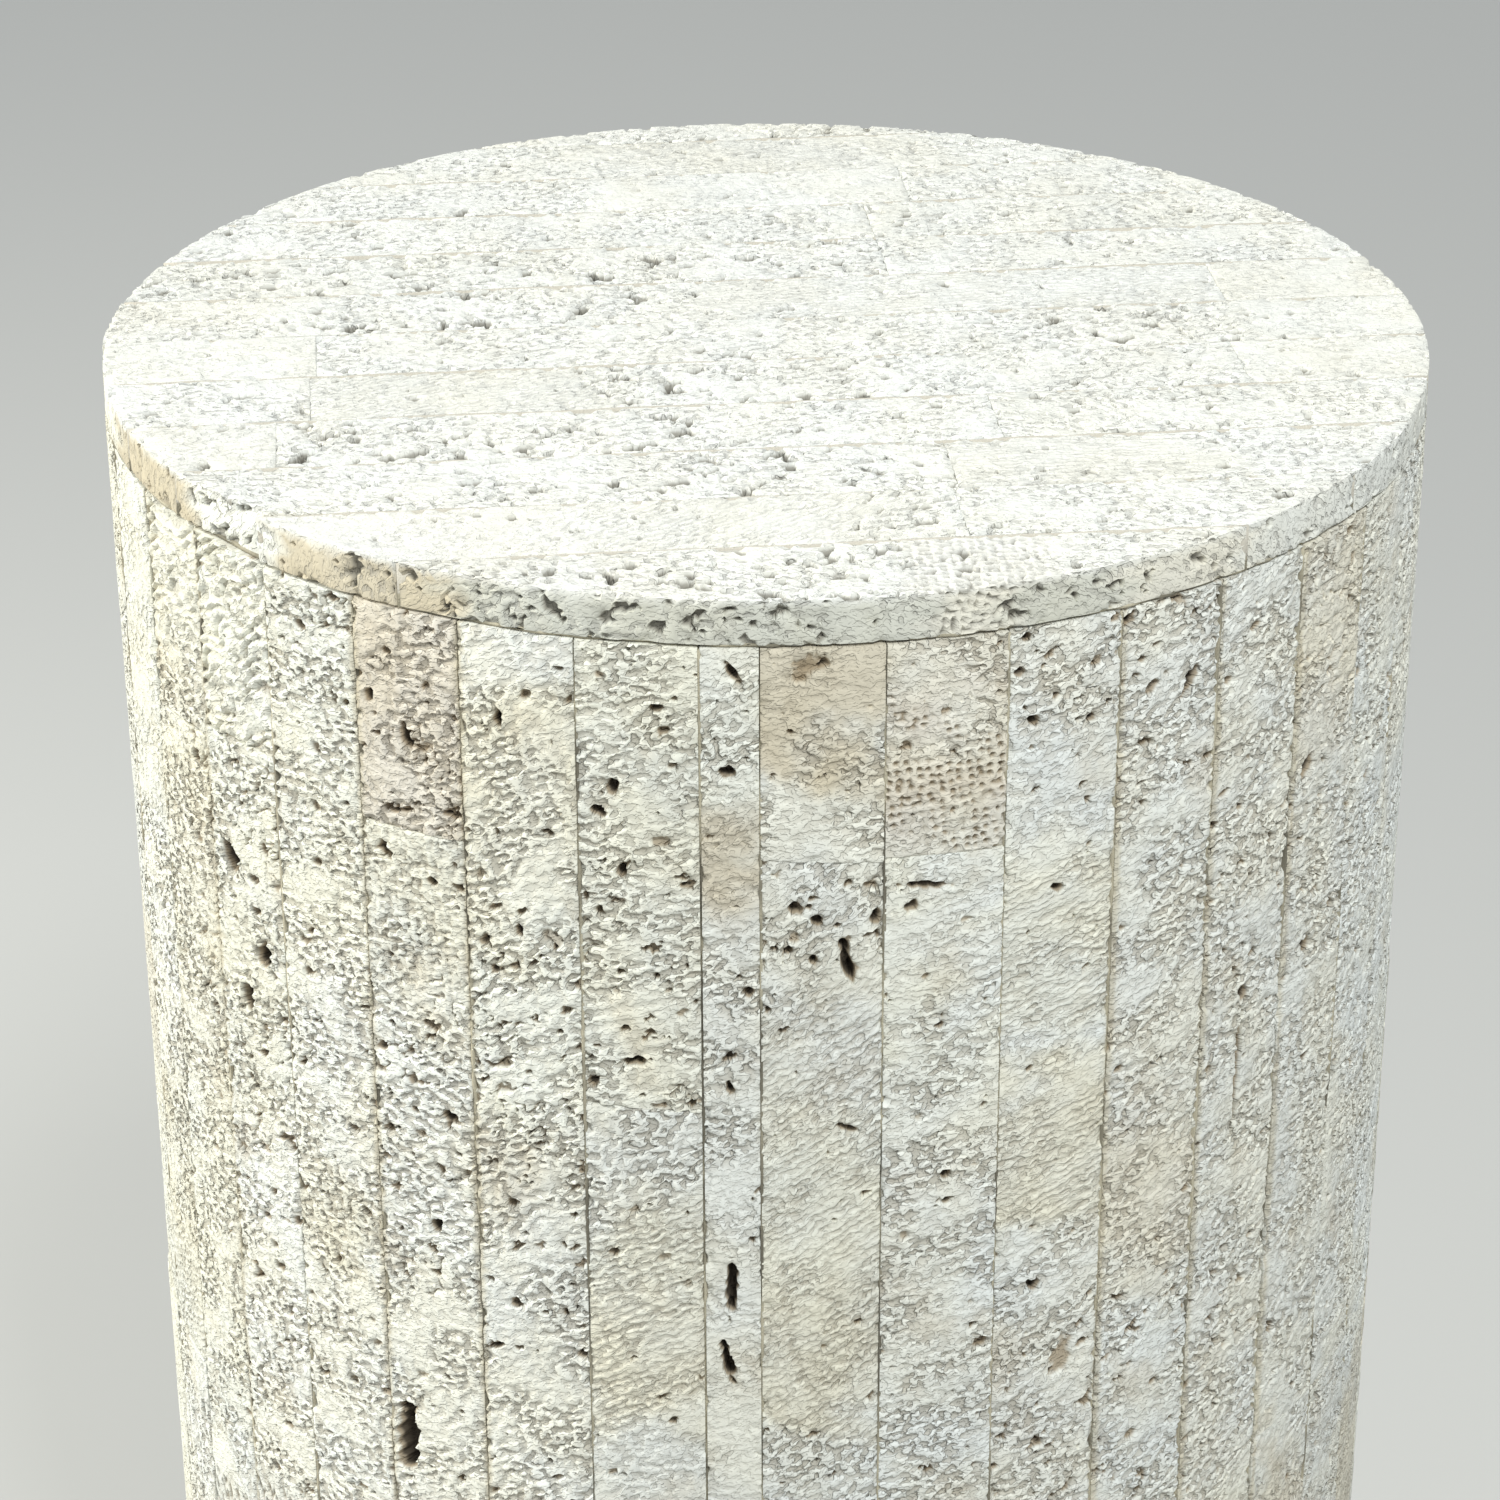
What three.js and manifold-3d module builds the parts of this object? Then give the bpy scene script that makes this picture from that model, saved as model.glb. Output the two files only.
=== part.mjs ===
// A round drum pedestal faced with sawn coral stone.
// Upright staves of stone stand edge to edge in a ring. A top of parallel stone strips lies across
// their upper ends, and thin mortar joints hold the stones together. The drum is hollow and open below.
// Millimetres, +Z up, origin at the middle of the underside, the front of the drum facing -Y.
import * as THREE from "three";
import { mergeVertices } from "three/addons/utils/BufferGeometryUtils.js";
import Module from "manifold-3d";

// Driving dimensions.
const DRUM_RADIUS = 203;
const DRUM_HEIGHT = 762;
const STONE_THICKNESS = 13;
const JOINT_WIDTH = 1.2;

// Mortar, which fills the middle of each joint and stands back from the faces of the stones.
const MORTAR_THICKNESS = 0.6;
const MORTAR_RECESS = 1.0;
const MORTAR_DEPTH = 11;
const MORTAR_LIFT = 2;

// Staves. Bearings are in degrees from the front of the drum, positive towards +X.
const FULL_STAVES = 36;
const CLOSING_STAVE_FROM = -5.15;
const CLOSING_STAVE_TO = -0.48;
const NARROWEST_BEARING = -30;
const WIDTH_DRIFT = 0.02;
const STAVE_ARC_SEGMENTS = 3;

// Stones within a stave: each stave is built up of a few stones that meet at a scored butt joint.
// A stave starts at the top with a full stone or with a shorter offcut.
const LONGEST_STONE = 305;
const SHORTEST_TOP_STONE = 60;
const STONE_LENGTH_TRIM = 0.15;
const SHORTEST_FOOT_STONE = 60;
const FRONT_STAVES = 8;
const FRONT_OFFCUTS = new Map([
  [1, 65],
  [2, 65],
  [31, 67],
  [32, 61],
  [34, 68],
  [36, 145],
]);
const BUTT_SCORE_WIDTH = 0.7;
const BUTT_SCORE_DEPTH = 1.5;
const BUTT_SLANT_DEGREES = 3;

// Top strips.
const TOP_STRIP_WIDTH = 35;
const TOP_STRIP_TURN = 5.7;
const MIDDLE_JOINT_OFFSET = 9.8;
const JOINTS_BEFORE_MIDDLE = 5;
const JOINTS_BEHIND_MIDDLE = 5;
const RIM_ARC_SEGMENTS = 5;
const END_STRIP_ARC_SEGMENTS = 14;

// The broken end of one top strip, on the left of the front rim.
const BROKEN_STRIP = 3;
const BREAK_BEARING = -49.5;
const BREAK_SPAN = 11;
const BREAK_FACETS = 4;
const BREAK_DEPTH = 3.2;
const BREAK_ROUGHNESS = 1.3;
const BREAK_LEAN_DEGREES = 9;

// Colours of the stones and of the mortar.
const STONE_COLOURS = ["#e6e1d2", "#dcd8cc", "#e3dabf", "#d9d7d0", "#ddd0b4"];
const TOP_COLOUR = "#eeebe0";
const MORTAR_COLOUR = "#b8a988";
const STONE_ROUGHNESS = 0.9;

const wasm = await Module();
wasm.setup();

const radians = THREE.MathUtils.degToRad;
const slabUnderside = DRUM_HEIGHT - STONE_THICKNESS;
const staveTop = slabUnderside - JOINT_WIDTH;
const staveBack = DRUM_RADIUS - STONE_THICKNESS;

// A repeatable number from 0 to 1 for a stone, from two counts.
function chance(a, b) {
  const wave = Math.sin(a * 12.9898 + b * 78.233) * 43758.5453;
  return wave - Math.floor(wave);
}

// The plan angle, from +X, of a bearing from the front.
function planAngle(bearing) {
  return radians(bearing - 90);
}

function solidFrom(geometry) {
  const bare = geometry.index ? geometry.toNonIndexed() : geometry.clone();
  bare.deleteAttribute("normal");
  bare.deleteAttribute("uv");
  const merged = mergeVertices(bare, 1e-3);
  return new wasm.Manifold(
    new wasm.Mesh({
      numProp: 3,
      vertProperties: new Float32Array(merged.attributes.position.array),
      triVerts: new Uint32Array(merged.index.array),
    }),
  );
}

function geometryFrom(solid) {
  const mesh = solid.getMesh();
  const positions = new Float32Array(mesh.numVert * 3);
  for (let i = 0; i < mesh.numVert; i++) {
    const start = i * mesh.numProp;
    positions.set(mesh.vertProperties.subarray(start, start + 3), i * 3);
  }
  const geometry = new THREE.BufferGeometry();
  geometry.setAttribute("position", new THREE.BufferAttribute(positions, 3));
  geometry.setIndex(new THREE.BufferAttribute(new Uint32Array(mesh.triVerts), 1));
  geometry.computeVertexNormals();
  return geometry;
}

function extrude(shape, height, curveSegments) {
  return new THREE.ExtrudeGeometry(shape, { depth: height, bevelEnabled: false, curveSegments });
}

// A box whose middle is at (x, y, z), turned about Z and then leaning about its own length.
function boxAt(size, place, turn, lean = 0) {
  const box = new THREE.BoxGeometry(...size);
  box.rotateX(lean);
  box.rotateZ(turn);
  box.translate(...place);
  return box;
}

function stone(name, geometry, colour) {
  const material = new THREE.MeshStandardMaterial({
    color: colour,
    roughness: STONE_ROUGHNESS,
    metalness: 0,
  });
  const mesh = new THREE.Mesh(geometry, material);
  mesh.name = name;
  return mesh;
}

// Bearings of the joints round the drum, from the closing stave's right side once round to its left.
// The strips were sawn a little narrower for the front left than for the back.
function staveJoints() {
  const arc = 360 - (CLOSING_STAVE_TO - CLOSING_STAVE_FROM);
  const mean = arc / FULL_STAVES;
  const widths = [];
  for (let i = 0; i < FULL_STAVES; i++) {
    const middle = CLOSING_STAVE_TO + (i + 0.5) * mean;
    widths.push(mean * (1 - WIDTH_DRIFT * Math.cos(radians(middle - NARROWEST_BEARING))));
  }
  const fit = arc / widths.reduce((sum, width) => sum + width, 0);
  const joints = [CLOSING_STAVE_TO];
  for (const width of widths) joints.push(joints.at(-1) + width * fit);
  return joints;
}

// The length of a stave's top stone: offcuts and full stones at the front, any length round the back.
function topStoneLength(stave) {
  if (FRONT_OFFCUTS.has(stave)) return FRONT_OFFCUTS.get(stave);
  const atFront = stave <= FRONT_STAVES || stave > FULL_STAVES - FRONT_STAVES;
  if (atFront) return LONGEST_STONE;
  return SHORTEST_TOP_STONE + (LONGEST_STONE - SHORTEST_TOP_STONE) * chance(stave, 1);
}

// Heights of the butt joints between the stones of one stave, from the top down.
function buttHeights(stave) {
  const heights = [];
  let height = staveTop - topStoneLength(stave);
  while (height > SHORTEST_FOOT_STONE) {
    heights.push(height);
    height -= LONGEST_STONE * (1 - STONE_LENGTH_TRIM * chance(stave, heights.length + 1));
  }
  return heights;
}

// A stave in plan, symmetrical about +X: a round face, a flat back, and sides parallel to its neighbours'.
function stavePlan(span) {
  const half = radians(span) / 2;
  const faceHalf = half - Math.asin(JOINT_WIDTH / 2 / DRUM_RADIUS);
  const backHalf = staveBack * Math.tan(half) - JOINT_WIDTH / 2 / Math.cos(half);
  const plan = new THREE.Shape();
  plan.absarc(0, 0, DRUM_RADIUS, -faceHalf, faceHalf, false);
  plan.lineTo(staveBack, backHalf);
  plan.lineTo(staveBack, -backHalf);
  plan.closePath();
  return plan;
}

function makeStave(name, number, from, to) {
  let solid = solidFrom(extrude(stavePlan(to - from), staveTop, STAVE_ARC_SEGMENTS));
  buttHeights(number).forEach((height, row) => {
    const slant = radians(BUTT_SLANT_DEGREES * (2 * chance(number, row + 11) - 1));
    const size = [2 * BUTT_SCORE_DEPTH, 2 * STONE_THICKNESS + TOP_STRIP_WIDTH, BUTT_SCORE_WIDTH];
    const score = boxAt(size, [DRUM_RADIUS, 0, height], 0, slant);
    solid = solid.subtract(solidFrom(score));
  });
  const colour = STONE_COLOURS[Math.floor(chance(number, 5) * STONE_COLOURS.length)];
  const mesh = stone(name, geometryFrom(solid), colour);
  mesh.rotation.z = planAngle((from + to) / 2);
  return mesh;
}

function makeStaves() {
  const ring = new THREE.Group();
  const joints = staveJoints();
  for (let i = 0; i < FULL_STAVES; i++) {
    const name = `stave_${String(i + 1).padStart(2, "0")}`;
    ring.add(makeStave(name, i + 1, joints[i], joints[i + 1]));
  }
  ring.add(makeStave("closing_stave", 0, CLOSING_STAVE_FROM, CLOSING_STAVE_TO));
  return ring;
}

// Offsets of the top joints from the drum's axis, across the strips, from the front to the back.
function topJoints() {
  const offsets = [];
  for (let i = -JOINTS_BEFORE_MIDDLE; i <= JOINTS_BEHIND_MIDDLE; i++) {
    offsets.push(MIDDLE_JOINT_OFFSET + i * TOP_STRIP_WIDTH);
  }
  return offsets;
}

// A top strip in plan, running along X, between two joints or between a joint and the rim.
function topStripPlan(front, back) {
  const plan = new THREE.Shape();
  const frontAngle = Math.asin(Math.max(front, -DRUM_RADIUS) / DRUM_RADIUS);
  const backAngle = Math.asin(Math.min(back, DRUM_RADIUS) / DRUM_RADIUS);
  if (front <= -DRUM_RADIUS) {
    plan.absarc(0, 0, DRUM_RADIUS, Math.PI - backAngle, 2 * Math.PI + backAngle, false);
  } else if (back >= DRUM_RADIUS) {
    plan.absarc(0, 0, DRUM_RADIUS, frontAngle, Math.PI - frontAngle, false);
  } else {
    plan.absarc(0, 0, DRUM_RADIUS, frontAngle, backAngle, false);
    plan.absarc(0, 0, DRUM_RADIUS, Math.PI - backAngle, Math.PI - frontAngle, false);
  }
  plan.closePath();
  return plan;
}

// Breaks the rim away in a row of leaning facets, in the strips' own turned frame.
function breakEnd(solid) {
  const facetSpan = BREAK_SPAN / BREAK_FACETS;
  const length = 1.4 * DRUM_RADIUS * radians(facetSpan);
  const thickness = 4 * BREAK_DEPTH;
  for (let i = 0; i < BREAK_FACETS; i++) {
    const bearing = BREAK_BEARING + (i - (BREAK_FACETS - 1) / 2) * facetSpan;
    const angle = planAngle(bearing - TOP_STRIP_TURN);
    const depth = BREAK_DEPTH - BREAK_ROUGHNESS * chance(i, 3);
    const reach = DRUM_RADIUS - depth + thickness / 2;
    const place = [reach * Math.cos(angle), reach * Math.sin(angle), STONE_THICKNESS / 2];
    const lean = radians(BREAK_LEAN_DEGREES * (2 * chance(i, 4) - 1));
    const facet = boxAt([length, thickness, 3 * STONE_THICKNESS], place, angle + Math.PI / 2, lean);
    solid = solid.subtract(solidFrom(facet));
  }
  return solid;
}

function makeTop() {
  const top = new THREE.Group();
  top.position.z = slabUnderside;
  top.rotation.z = radians(TOP_STRIP_TURN);
  const half = JOINT_WIDTH / 2;
  const edges = [-Infinity, ...topJoints(), Infinity];
  for (let i = 0; i + 1 < edges.length; i++) {
    const number = i + 1;
    const end = i === 0 || i + 2 === edges.length;
    const plan = topStripPlan(edges[i] + half, edges[i + 1] - half);
    const segments = end ? END_STRIP_ARC_SEGMENTS : RIM_ARC_SEGMENTS;
    let solid = solidFrom(extrude(plan, STONE_THICKNESS, segments));
    if (number === BROKEN_STRIP) solid = breakEnd(solid);
    const name = `top_strip_${String(number).padStart(2, "0")}`;
    top.add(stone(name, geometryFrom(solid), TOP_COLOUR));
  }
  return top;
}

// All the mortar, which set as one piece: the bed under the top, the upright joints and the top joints.
function makeMortar() {
  const outer = DRUM_RADIUS - MORTAR_RECESS;
  const bedMiddle = slabUnderside - JOINT_WIDTH / 2;
  const bedPlan = new THREE.Shape();
  bedPlan.absarc(0, 0, outer, 0, 2 * Math.PI, false);
  const hollow = new THREE.Path();
  hollow.absarc(0, 0, outer - MORTAR_DEPTH, 0, 2 * Math.PI, true);
  bedPlan.holes.push(hollow);
  const bed = extrude(bedPlan, MORTAR_THICKNESS, FULL_STAVES);
  bed.translate(0, 0, bedMiddle - MORTAR_THICKNESS / 2);
  let solid = solidFrom(bed);

  const uprightHeight = bedMiddle - MORTAR_LIFT;
  const uprightRadius = outer - MORTAR_DEPTH / 2;
  for (const bearing of staveJoints()) {
    const angle = planAngle(bearing);
    const place = [uprightRadius * Math.cos(angle), uprightRadius * Math.sin(angle)];
    const size = [MORTAR_DEPTH, MORTAR_THICKNESS, uprightHeight];
    const upright = boxAt(size, [...place, MORTAR_LIFT + uprightHeight / 2], angle);
    solid = solid.add(solidFrom(upright));
  }

  const turn = radians(TOP_STRIP_TURN);
  const topHeight = DRUM_HEIGHT - MORTAR_RECESS - bedMiddle;
  for (const offset of topJoints()) {
    const chord = 2 * Math.sqrt(outer * outer - offset * offset);
    const place = [-offset * Math.sin(turn), offset * Math.cos(turn), bedMiddle + topHeight / 2];
    solid = solid.add(solidFrom(boxAt([chord, MORTAR_THICKNESS, topHeight], place, turn)));
  }
  return stone("joint_mortar", geometryFrom(solid), MORTAR_COLOUR);
}

const pedestal = new THREE.Group();
pedestal.add(makeStaves(), makeTop(), makeMortar());

export default pedestal;
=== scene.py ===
"""Round drum pedestal of sawn coral stone, with its surfaces carved and finished.

Upright staves of coral stone stand round the drum, and strips of the same stone lie across its top.
Each stave and strip is built of stones laid end to end. A stone starts as a fine grid with its grain
written on it, and a geometry node tree then sinks the pores, ridges, cups and pits into its face.
"""

import logging
import math
from dataclasses import dataclass, field
from enum import Enum, IntEnum
from typing import ClassVar, Iterable, Sequence, Union

import bpy
import numpy as np
from mathutils import Matrix, Vector


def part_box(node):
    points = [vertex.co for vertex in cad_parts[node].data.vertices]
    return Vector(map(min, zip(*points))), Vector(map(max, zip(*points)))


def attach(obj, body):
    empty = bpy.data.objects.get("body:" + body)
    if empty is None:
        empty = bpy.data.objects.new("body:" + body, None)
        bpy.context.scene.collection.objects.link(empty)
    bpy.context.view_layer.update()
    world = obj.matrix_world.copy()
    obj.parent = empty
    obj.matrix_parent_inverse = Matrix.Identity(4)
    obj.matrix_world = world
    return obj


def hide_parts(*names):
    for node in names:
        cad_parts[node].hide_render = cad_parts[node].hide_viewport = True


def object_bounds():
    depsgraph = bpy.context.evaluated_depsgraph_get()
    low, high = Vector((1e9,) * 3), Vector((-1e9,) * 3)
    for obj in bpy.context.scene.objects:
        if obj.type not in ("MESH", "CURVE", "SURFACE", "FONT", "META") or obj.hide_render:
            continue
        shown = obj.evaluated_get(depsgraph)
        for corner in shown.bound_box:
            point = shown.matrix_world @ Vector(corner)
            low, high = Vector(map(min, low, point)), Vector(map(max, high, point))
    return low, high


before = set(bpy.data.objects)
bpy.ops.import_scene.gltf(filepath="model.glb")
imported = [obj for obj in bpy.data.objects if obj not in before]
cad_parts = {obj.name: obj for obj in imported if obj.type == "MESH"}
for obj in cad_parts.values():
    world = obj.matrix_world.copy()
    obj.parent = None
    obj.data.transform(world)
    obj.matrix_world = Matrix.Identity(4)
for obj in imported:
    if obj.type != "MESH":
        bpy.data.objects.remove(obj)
CAD_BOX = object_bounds()

LOG = logging.getLogger("pedestal")
MILLIMETRE = 0.001
FAR_AWAY = 1000.0
NEAR_NOTHING = 1e-6
Colour = tuple[float, float, float]
Place = tuple[float, float, float]
Pair = tuple[float, float]
Input = Union[float, Sequence[float], bpy.types.NodeSocket]


class Seed(IntEnum):
    """Where the random draws of each kind start."""

    PROUD = 17
    QUICK_WAVE = 50
    BREAK = 77
    STAVES = 100
    SIDE_JOINTS = 300
    TOP_JOINTS = 400
    BED = 500
    RIM = 640
    CAVITIES = 900
    CAVITY_EDGES = 950
    SMEARS = 1200
    STRIPS = 7000


class Tint(Enum):
    """Colours that coral stone weathers to, as linear red, green and blue."""

    WHITE = (0.72, 0.725, 0.67)
    IVORY = (0.70, 0.70, 0.625)
    CREAM = (0.695, 0.68, 0.585)
    BEIGE = (0.66, 0.64, 0.56)
    TAN = (0.57, 0.52, 0.41)
    ROSE = (0.61, 0.57, 0.495)
    GREY = (0.68, 0.685, 0.635)
    BLUE = (0.68, 0.695, 0.66)
    ASH = (0.54, 0.54, 0.475)
    UMBER = (0.53, 0.475, 0.36)


@dataclass(frozen=True)
class Texture:
    """How strongly each kind of relief shows in a patch of stone, from 0 to 1."""

    granular: float
    ridged: float
    cupped: float
    pitted: float
    folded: float = 0.0


class Grain(Enum):
    """The kinds of coral that a patch of stone can be cut through."""

    GRANULAR = Texture(1.0, 0.0, 0.0, 0.45)
    PITTED = Texture(1.0, 0.0, 0.0, 1.0)
    RIDGED = Texture(0.55, 1.0, 0.0, 0.25)
    CUPPED = Texture(0.3, 0.0, 1.0, 0.12)
    WORN_CUPS = Texture(0.9, 0.0, 0.4, 0.5)
    DENSE = Texture(0.5, 0.0, 0.0, 0.3)
    FOLDED = Texture(0.5, 0.0, 0.0, 0.4, folded=1.0)


@dataclass(frozen=True)
class Patch:
    """A stretch of one kind of coral along a stave or strip, in millimetres along it."""

    start: float
    end: float
    grain: Grain
    tint: Tint


@dataclass(frozen=True)
class Cavity:
    """A hole in the side of the drum, by its bearing from the front and its drop below the rim.

    The bearing and the lean are in degrees, the rest in millimetres.
    """

    bearing: float
    drop: float
    width: float
    length: float
    lean: float
    depth: float


# Patches that show on the front of the drum, by stave number, with their drop below the rim.
FRONT_PATCHES: dict[int, tuple[Patch, ...]] = {
    0: (
        Patch(0, 32, Grain.DENSE, Tint.WHITE),
        Patch(32, 65, Grain.GRANULAR, Tint.IVORY),
        Patch(65, 95, Grain.DENSE, Tint.TAN),
        Patch(95, 175, Grain.GRANULAR, Tint.GREY),
        Patch(175, 310, Grain.DENSE, Tint.GREY),
    ),
    1: (
        Patch(0, 46, Grain.DENSE, Tint.TAN),
        Patch(46, 79, Grain.GRANULAR, Tint.GREY),
        Patch(79, 120, Grain.PITTED, Tint.GREY),
        Patch(120, 166, Grain.RIDGED, Tint.GREY),
        Patch(166, 212, Grain.RIDGED, Tint.IVORY),
        Patch(212, 264, Grain.RIDGED, Tint.CREAM),
        Patch(264, 330, Grain.GRANULAR, Tint.BLUE),
    ),
    2: (
        Patch(0, 42, Grain.GRANULAR, Tint.BEIGE),
        Patch(42, 72, Grain.CUPPED, Tint.ROSE),
        Patch(72, 79, Grain.DENSE, Tint.BEIGE),
        Patch(79, 90, Grain.DENSE, Tint.IVORY),
        Patch(90, 128, Grain.DENSE, Tint.BLUE),
        Patch(128, 160, Grain.GRANULAR, Tint.IVORY),
        Patch(160, 196, Grain.GRANULAR, Tint.GREY),
        Patch(196, 330, Grain.GRANULAR, Tint.BLUE),
    ),
    3: (
        Patch(0, 50, Grain.PITTED, Tint.GREY),
        Patch(50, 90, Grain.DENSE, Tint.BLUE),
        Patch(90, 134, Grain.RIDGED, Tint.IVORY),
        Patch(134, 160, Grain.DENSE, Tint.BLUE),
        Patch(160, 204, Grain.RIDGED, Tint.CREAM),
        Patch(204, 232, Grain.GRANULAR, Tint.BLUE),
        Patch(232, 330, Grain.PITTED, Tint.GREY),
    ),
    4: (
        Patch(0, 74, Grain.PITTED, Tint.GREY),
        Patch(74, 106, Grain.GRANULAR, Tint.BLUE),
        Patch(106, 186, Grain.GRANULAR, Tint.GREY),
        Patch(186, 236, Grain.GRANULAR, Tint.BEIGE),
        Patch(236, 330, Grain.PITTED, Tint.BLUE),
    ),
    5: (
        Patch(0, 76, Grain.GRANULAR, Tint.GREY),
        Patch(76, 160, Grain.PITTED, Tint.GREY),
        Patch(160, 230, Grain.GRANULAR, Tint.GREY),
        Patch(230, 340, Grain.PITTED, Tint.GREY),
    ),
    6: (
        Patch(0, 88, Grain.PITTED, Tint.BEIGE),
        Patch(88, 156, Grain.PITTED, Tint.GREY),
        Patch(156, 340, Grain.GRANULAR, Tint.GREY),
    ),
    7: (
        Patch(0, 60, Grain.GRANULAR, Tint.GREY),
        Patch(60, 200, Grain.PITTED, Tint.BLUE),
        Patch(200, 340, Grain.GRANULAR, Tint.GREY),
    ),
    8: (
        Patch(0, 120, Grain.PITTED, Tint.GREY),
        Patch(120, 340, Grain.GRANULAR, Tint.BLUE),
    ),
    31: (
        Patch(0, 62, Grain.FOLDED, Tint.CREAM),
        Patch(62, 78, Grain.GRANULAR, Tint.CREAM),
        Patch(78, 200, Grain.PITTED, Tint.CREAM),
        Patch(200, 340, Grain.GRANULAR, Tint.IVORY),
    ),
    32: (
        Patch(0, 75, Grain.FOLDED, Tint.IVORY),
        Patch(75, 200, Grain.PITTED, Tint.IVORY),
        Patch(200, 340, Grain.PITTED, Tint.WHITE),
    ),
    33: (
        Patch(0, 66, Grain.PITTED, Tint.IVORY),
        Patch(66, 130, Grain.GRANULAR, Tint.IVORY),
        Patch(130, 210, Grain.PITTED, Tint.WHITE),
        Patch(210, 242, Grain.WORN_CUPS, Tint.CREAM),
        Patch(242, 340, Grain.GRANULAR, Tint.WHITE),
    ),
    34: (
        Patch(0, 82, Grain.PITTED, Tint.ROSE),
        Patch(82, 136, Grain.WORN_CUPS, Tint.IVORY),
        Patch(136, 230, Grain.PITTED, Tint.WHITE),
        Patch(230, 340, Grain.GRANULAR, Tint.WHITE),
    ),
    35: (
        Patch(0, 34, Grain.DENSE, Tint.WHITE),
        Patch(34, 92, Grain.GRANULAR, Tint.CREAM),
        Patch(92, 160, Grain.PITTED, Tint.IVORY),
        Patch(160, 250, Grain.PITTED, Tint.GREY),
        Patch(250, 340, Grain.GRANULAR, Tint.WHITE),
    ),
    36: (
        Patch(0, 78, Grain.GRANULAR, Tint.IVORY),
        Patch(78, 159, Grain.PITTED, Tint.IVORY),
        Patch(159, 194, Grain.GRANULAR, Tint.GREY),
        Patch(194, 222, Grain.RIDGED, Tint.IVORY),
        Patch(222, 262, Grain.RIDGED, Tint.CREAM),
        Patch(262, 330, Grain.DENSE, Tint.GREY),
    ),
}

# Patches on the top strips, by strip number, with their place along the strip from its middle.
TOP_PATCHES: dict[int, tuple[Patch, ...]] = {
    1: (
        Patch(-120, -60, Grain.PITTED, Tint.BEIGE),
        Patch(-60, 20, Grain.PITTED, Tint.IVORY),
        Patch(20, 60, Grain.CUPPED, Tint.BEIGE),
        Patch(60, 120, Grain.GRANULAR, Tint.IVORY),
    ),
    2: (
        Patch(-160, -70, Grain.DENSE, Tint.BEIGE),
        Patch(-70, 14, Grain.RIDGED, Tint.CREAM),
        Patch(14, 40, Grain.PITTED, Tint.IVORY),
        Patch(40, 160, Grain.GRANULAR, Tint.IVORY),
    ),
    3: (
        Patch(-180, -60, Grain.GRANULAR, Tint.WHITE),
        Patch(-60, 42, Grain.PITTED, Tint.WHITE),
        Patch(42, 112, Grain.RIDGED, Tint.CREAM),
        Patch(112, 180, Grain.GRANULAR, Tint.WHITE),
    ),
    4: (
        Patch(-200, -150, Grain.DENSE, Tint.CREAM),
        Patch(-150, -20, Grain.PITTED, Tint.WHITE),
        Patch(-20, 60, Grain.GRANULAR, Tint.WHITE),
        Patch(60, 200, Grain.GRANULAR, Tint.IVORY),
    ),
    5: (
        Patch(-200, -140, Grain.GRANULAR, Tint.WHITE),
        Patch(-140, -58, Grain.RIDGED, Tint.CREAM),
        Patch(-58, 50, Grain.PITTED, Tint.WHITE),
        Patch(50, 140, Grain.GRANULAR, Tint.WHITE),
        Patch(140, 200, Grain.DENSE, Tint.CREAM),
    ),
    6: (
        Patch(-205, -138, Grain.DENSE, Tint.IVORY),
        Patch(-138, 60, Grain.GRANULAR, Tint.WHITE),
        Patch(60, 150, Grain.PITTED, Tint.WHITE),
        Patch(150, 205, Grain.DENSE, Tint.CREAM),
    ),
    7: (
        Patch(-205, -140, Grain.GRANULAR, Tint.CREAM),
        Patch(-140, -20, Grain.PITTED, Tint.WHITE),
        Patch(-20, 146, Grain.RIDGED, Tint.WHITE),
        Patch(146, 205, Grain.DENSE, Tint.CREAM),
    ),
    8: (
        Patch(-200, -60, Grain.PITTED, Tint.IVORY),
        Patch(-60, 44, Grain.PITTED, Tint.WHITE),
        Patch(44, 200, Grain.GRANULAR, Tint.WHITE),
    ),
    9: (
        Patch(-190, 44, Grain.GRANULAR, Tint.WHITE),
        Patch(44, 110, Grain.PITTED, Tint.IVORY),
        Patch(110, 190, Grain.GRANULAR, Tint.IVORY),
    ),
    10: (
        Patch(-170, -40, Grain.GRANULAR, Tint.WHITE),
        Patch(-40, 60, Grain.DENSE, Tint.WHITE),
        Patch(60, 170, Grain.GRANULAR, Tint.IVORY),
    ),
    11: (
        Patch(-140, -40, Grain.GRANULAR, Tint.IVORY),
        Patch(-40, 60, Grain.RIDGED, Tint.CREAM),
        Patch(60, 140, Grain.GRANULAR, Tint.IVORY),
    ),
    12: (
        Patch(-90, -20, Grain.GRANULAR, Tint.CREAM),
        Patch(-20, 90, Grain.PITTED, Tint.CREAM),
    ),
}

# Patches on the rim of the top, with their bearing from the front in degrees.
RIM_PATCHES: tuple[Patch, ...] = (
    Patch(-180, -100, Grain.GRANULAR, Tint.IVORY),
    Patch(-100, -70, Grain.GRANULAR, Tint.CREAM),
    Patch(-70, -54, Grain.DENSE, Tint.UMBER),
    Patch(-54, -42.5, Grain.PITTED, Tint.WHITE),
    Patch(-42.5, -35, Grain.DENSE, Tint.UMBER),
    Patch(-35, -25, Grain.PITTED, Tint.UMBER),
    Patch(-25, -15, Grain.PITTED, Tint.ASH),
    Patch(-15, 2, Grain.PITTED, Tint.ASH),
    Patch(2, 13, Grain.GRANULAR, Tint.ASH),
    Patch(13, 18.5, Grain.CUPPED, Tint.BEIGE),
    Patch(18.5, 29, Grain.PITTED, Tint.ASH),
    Patch(29, 41, Grain.GRANULAR, Tint.BEIGE),
    Patch(41, 90, Grain.GRANULAR, Tint.GREY),
    Patch(90, 180, Grain.GRANULAR, Tint.IVORY),
)

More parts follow.
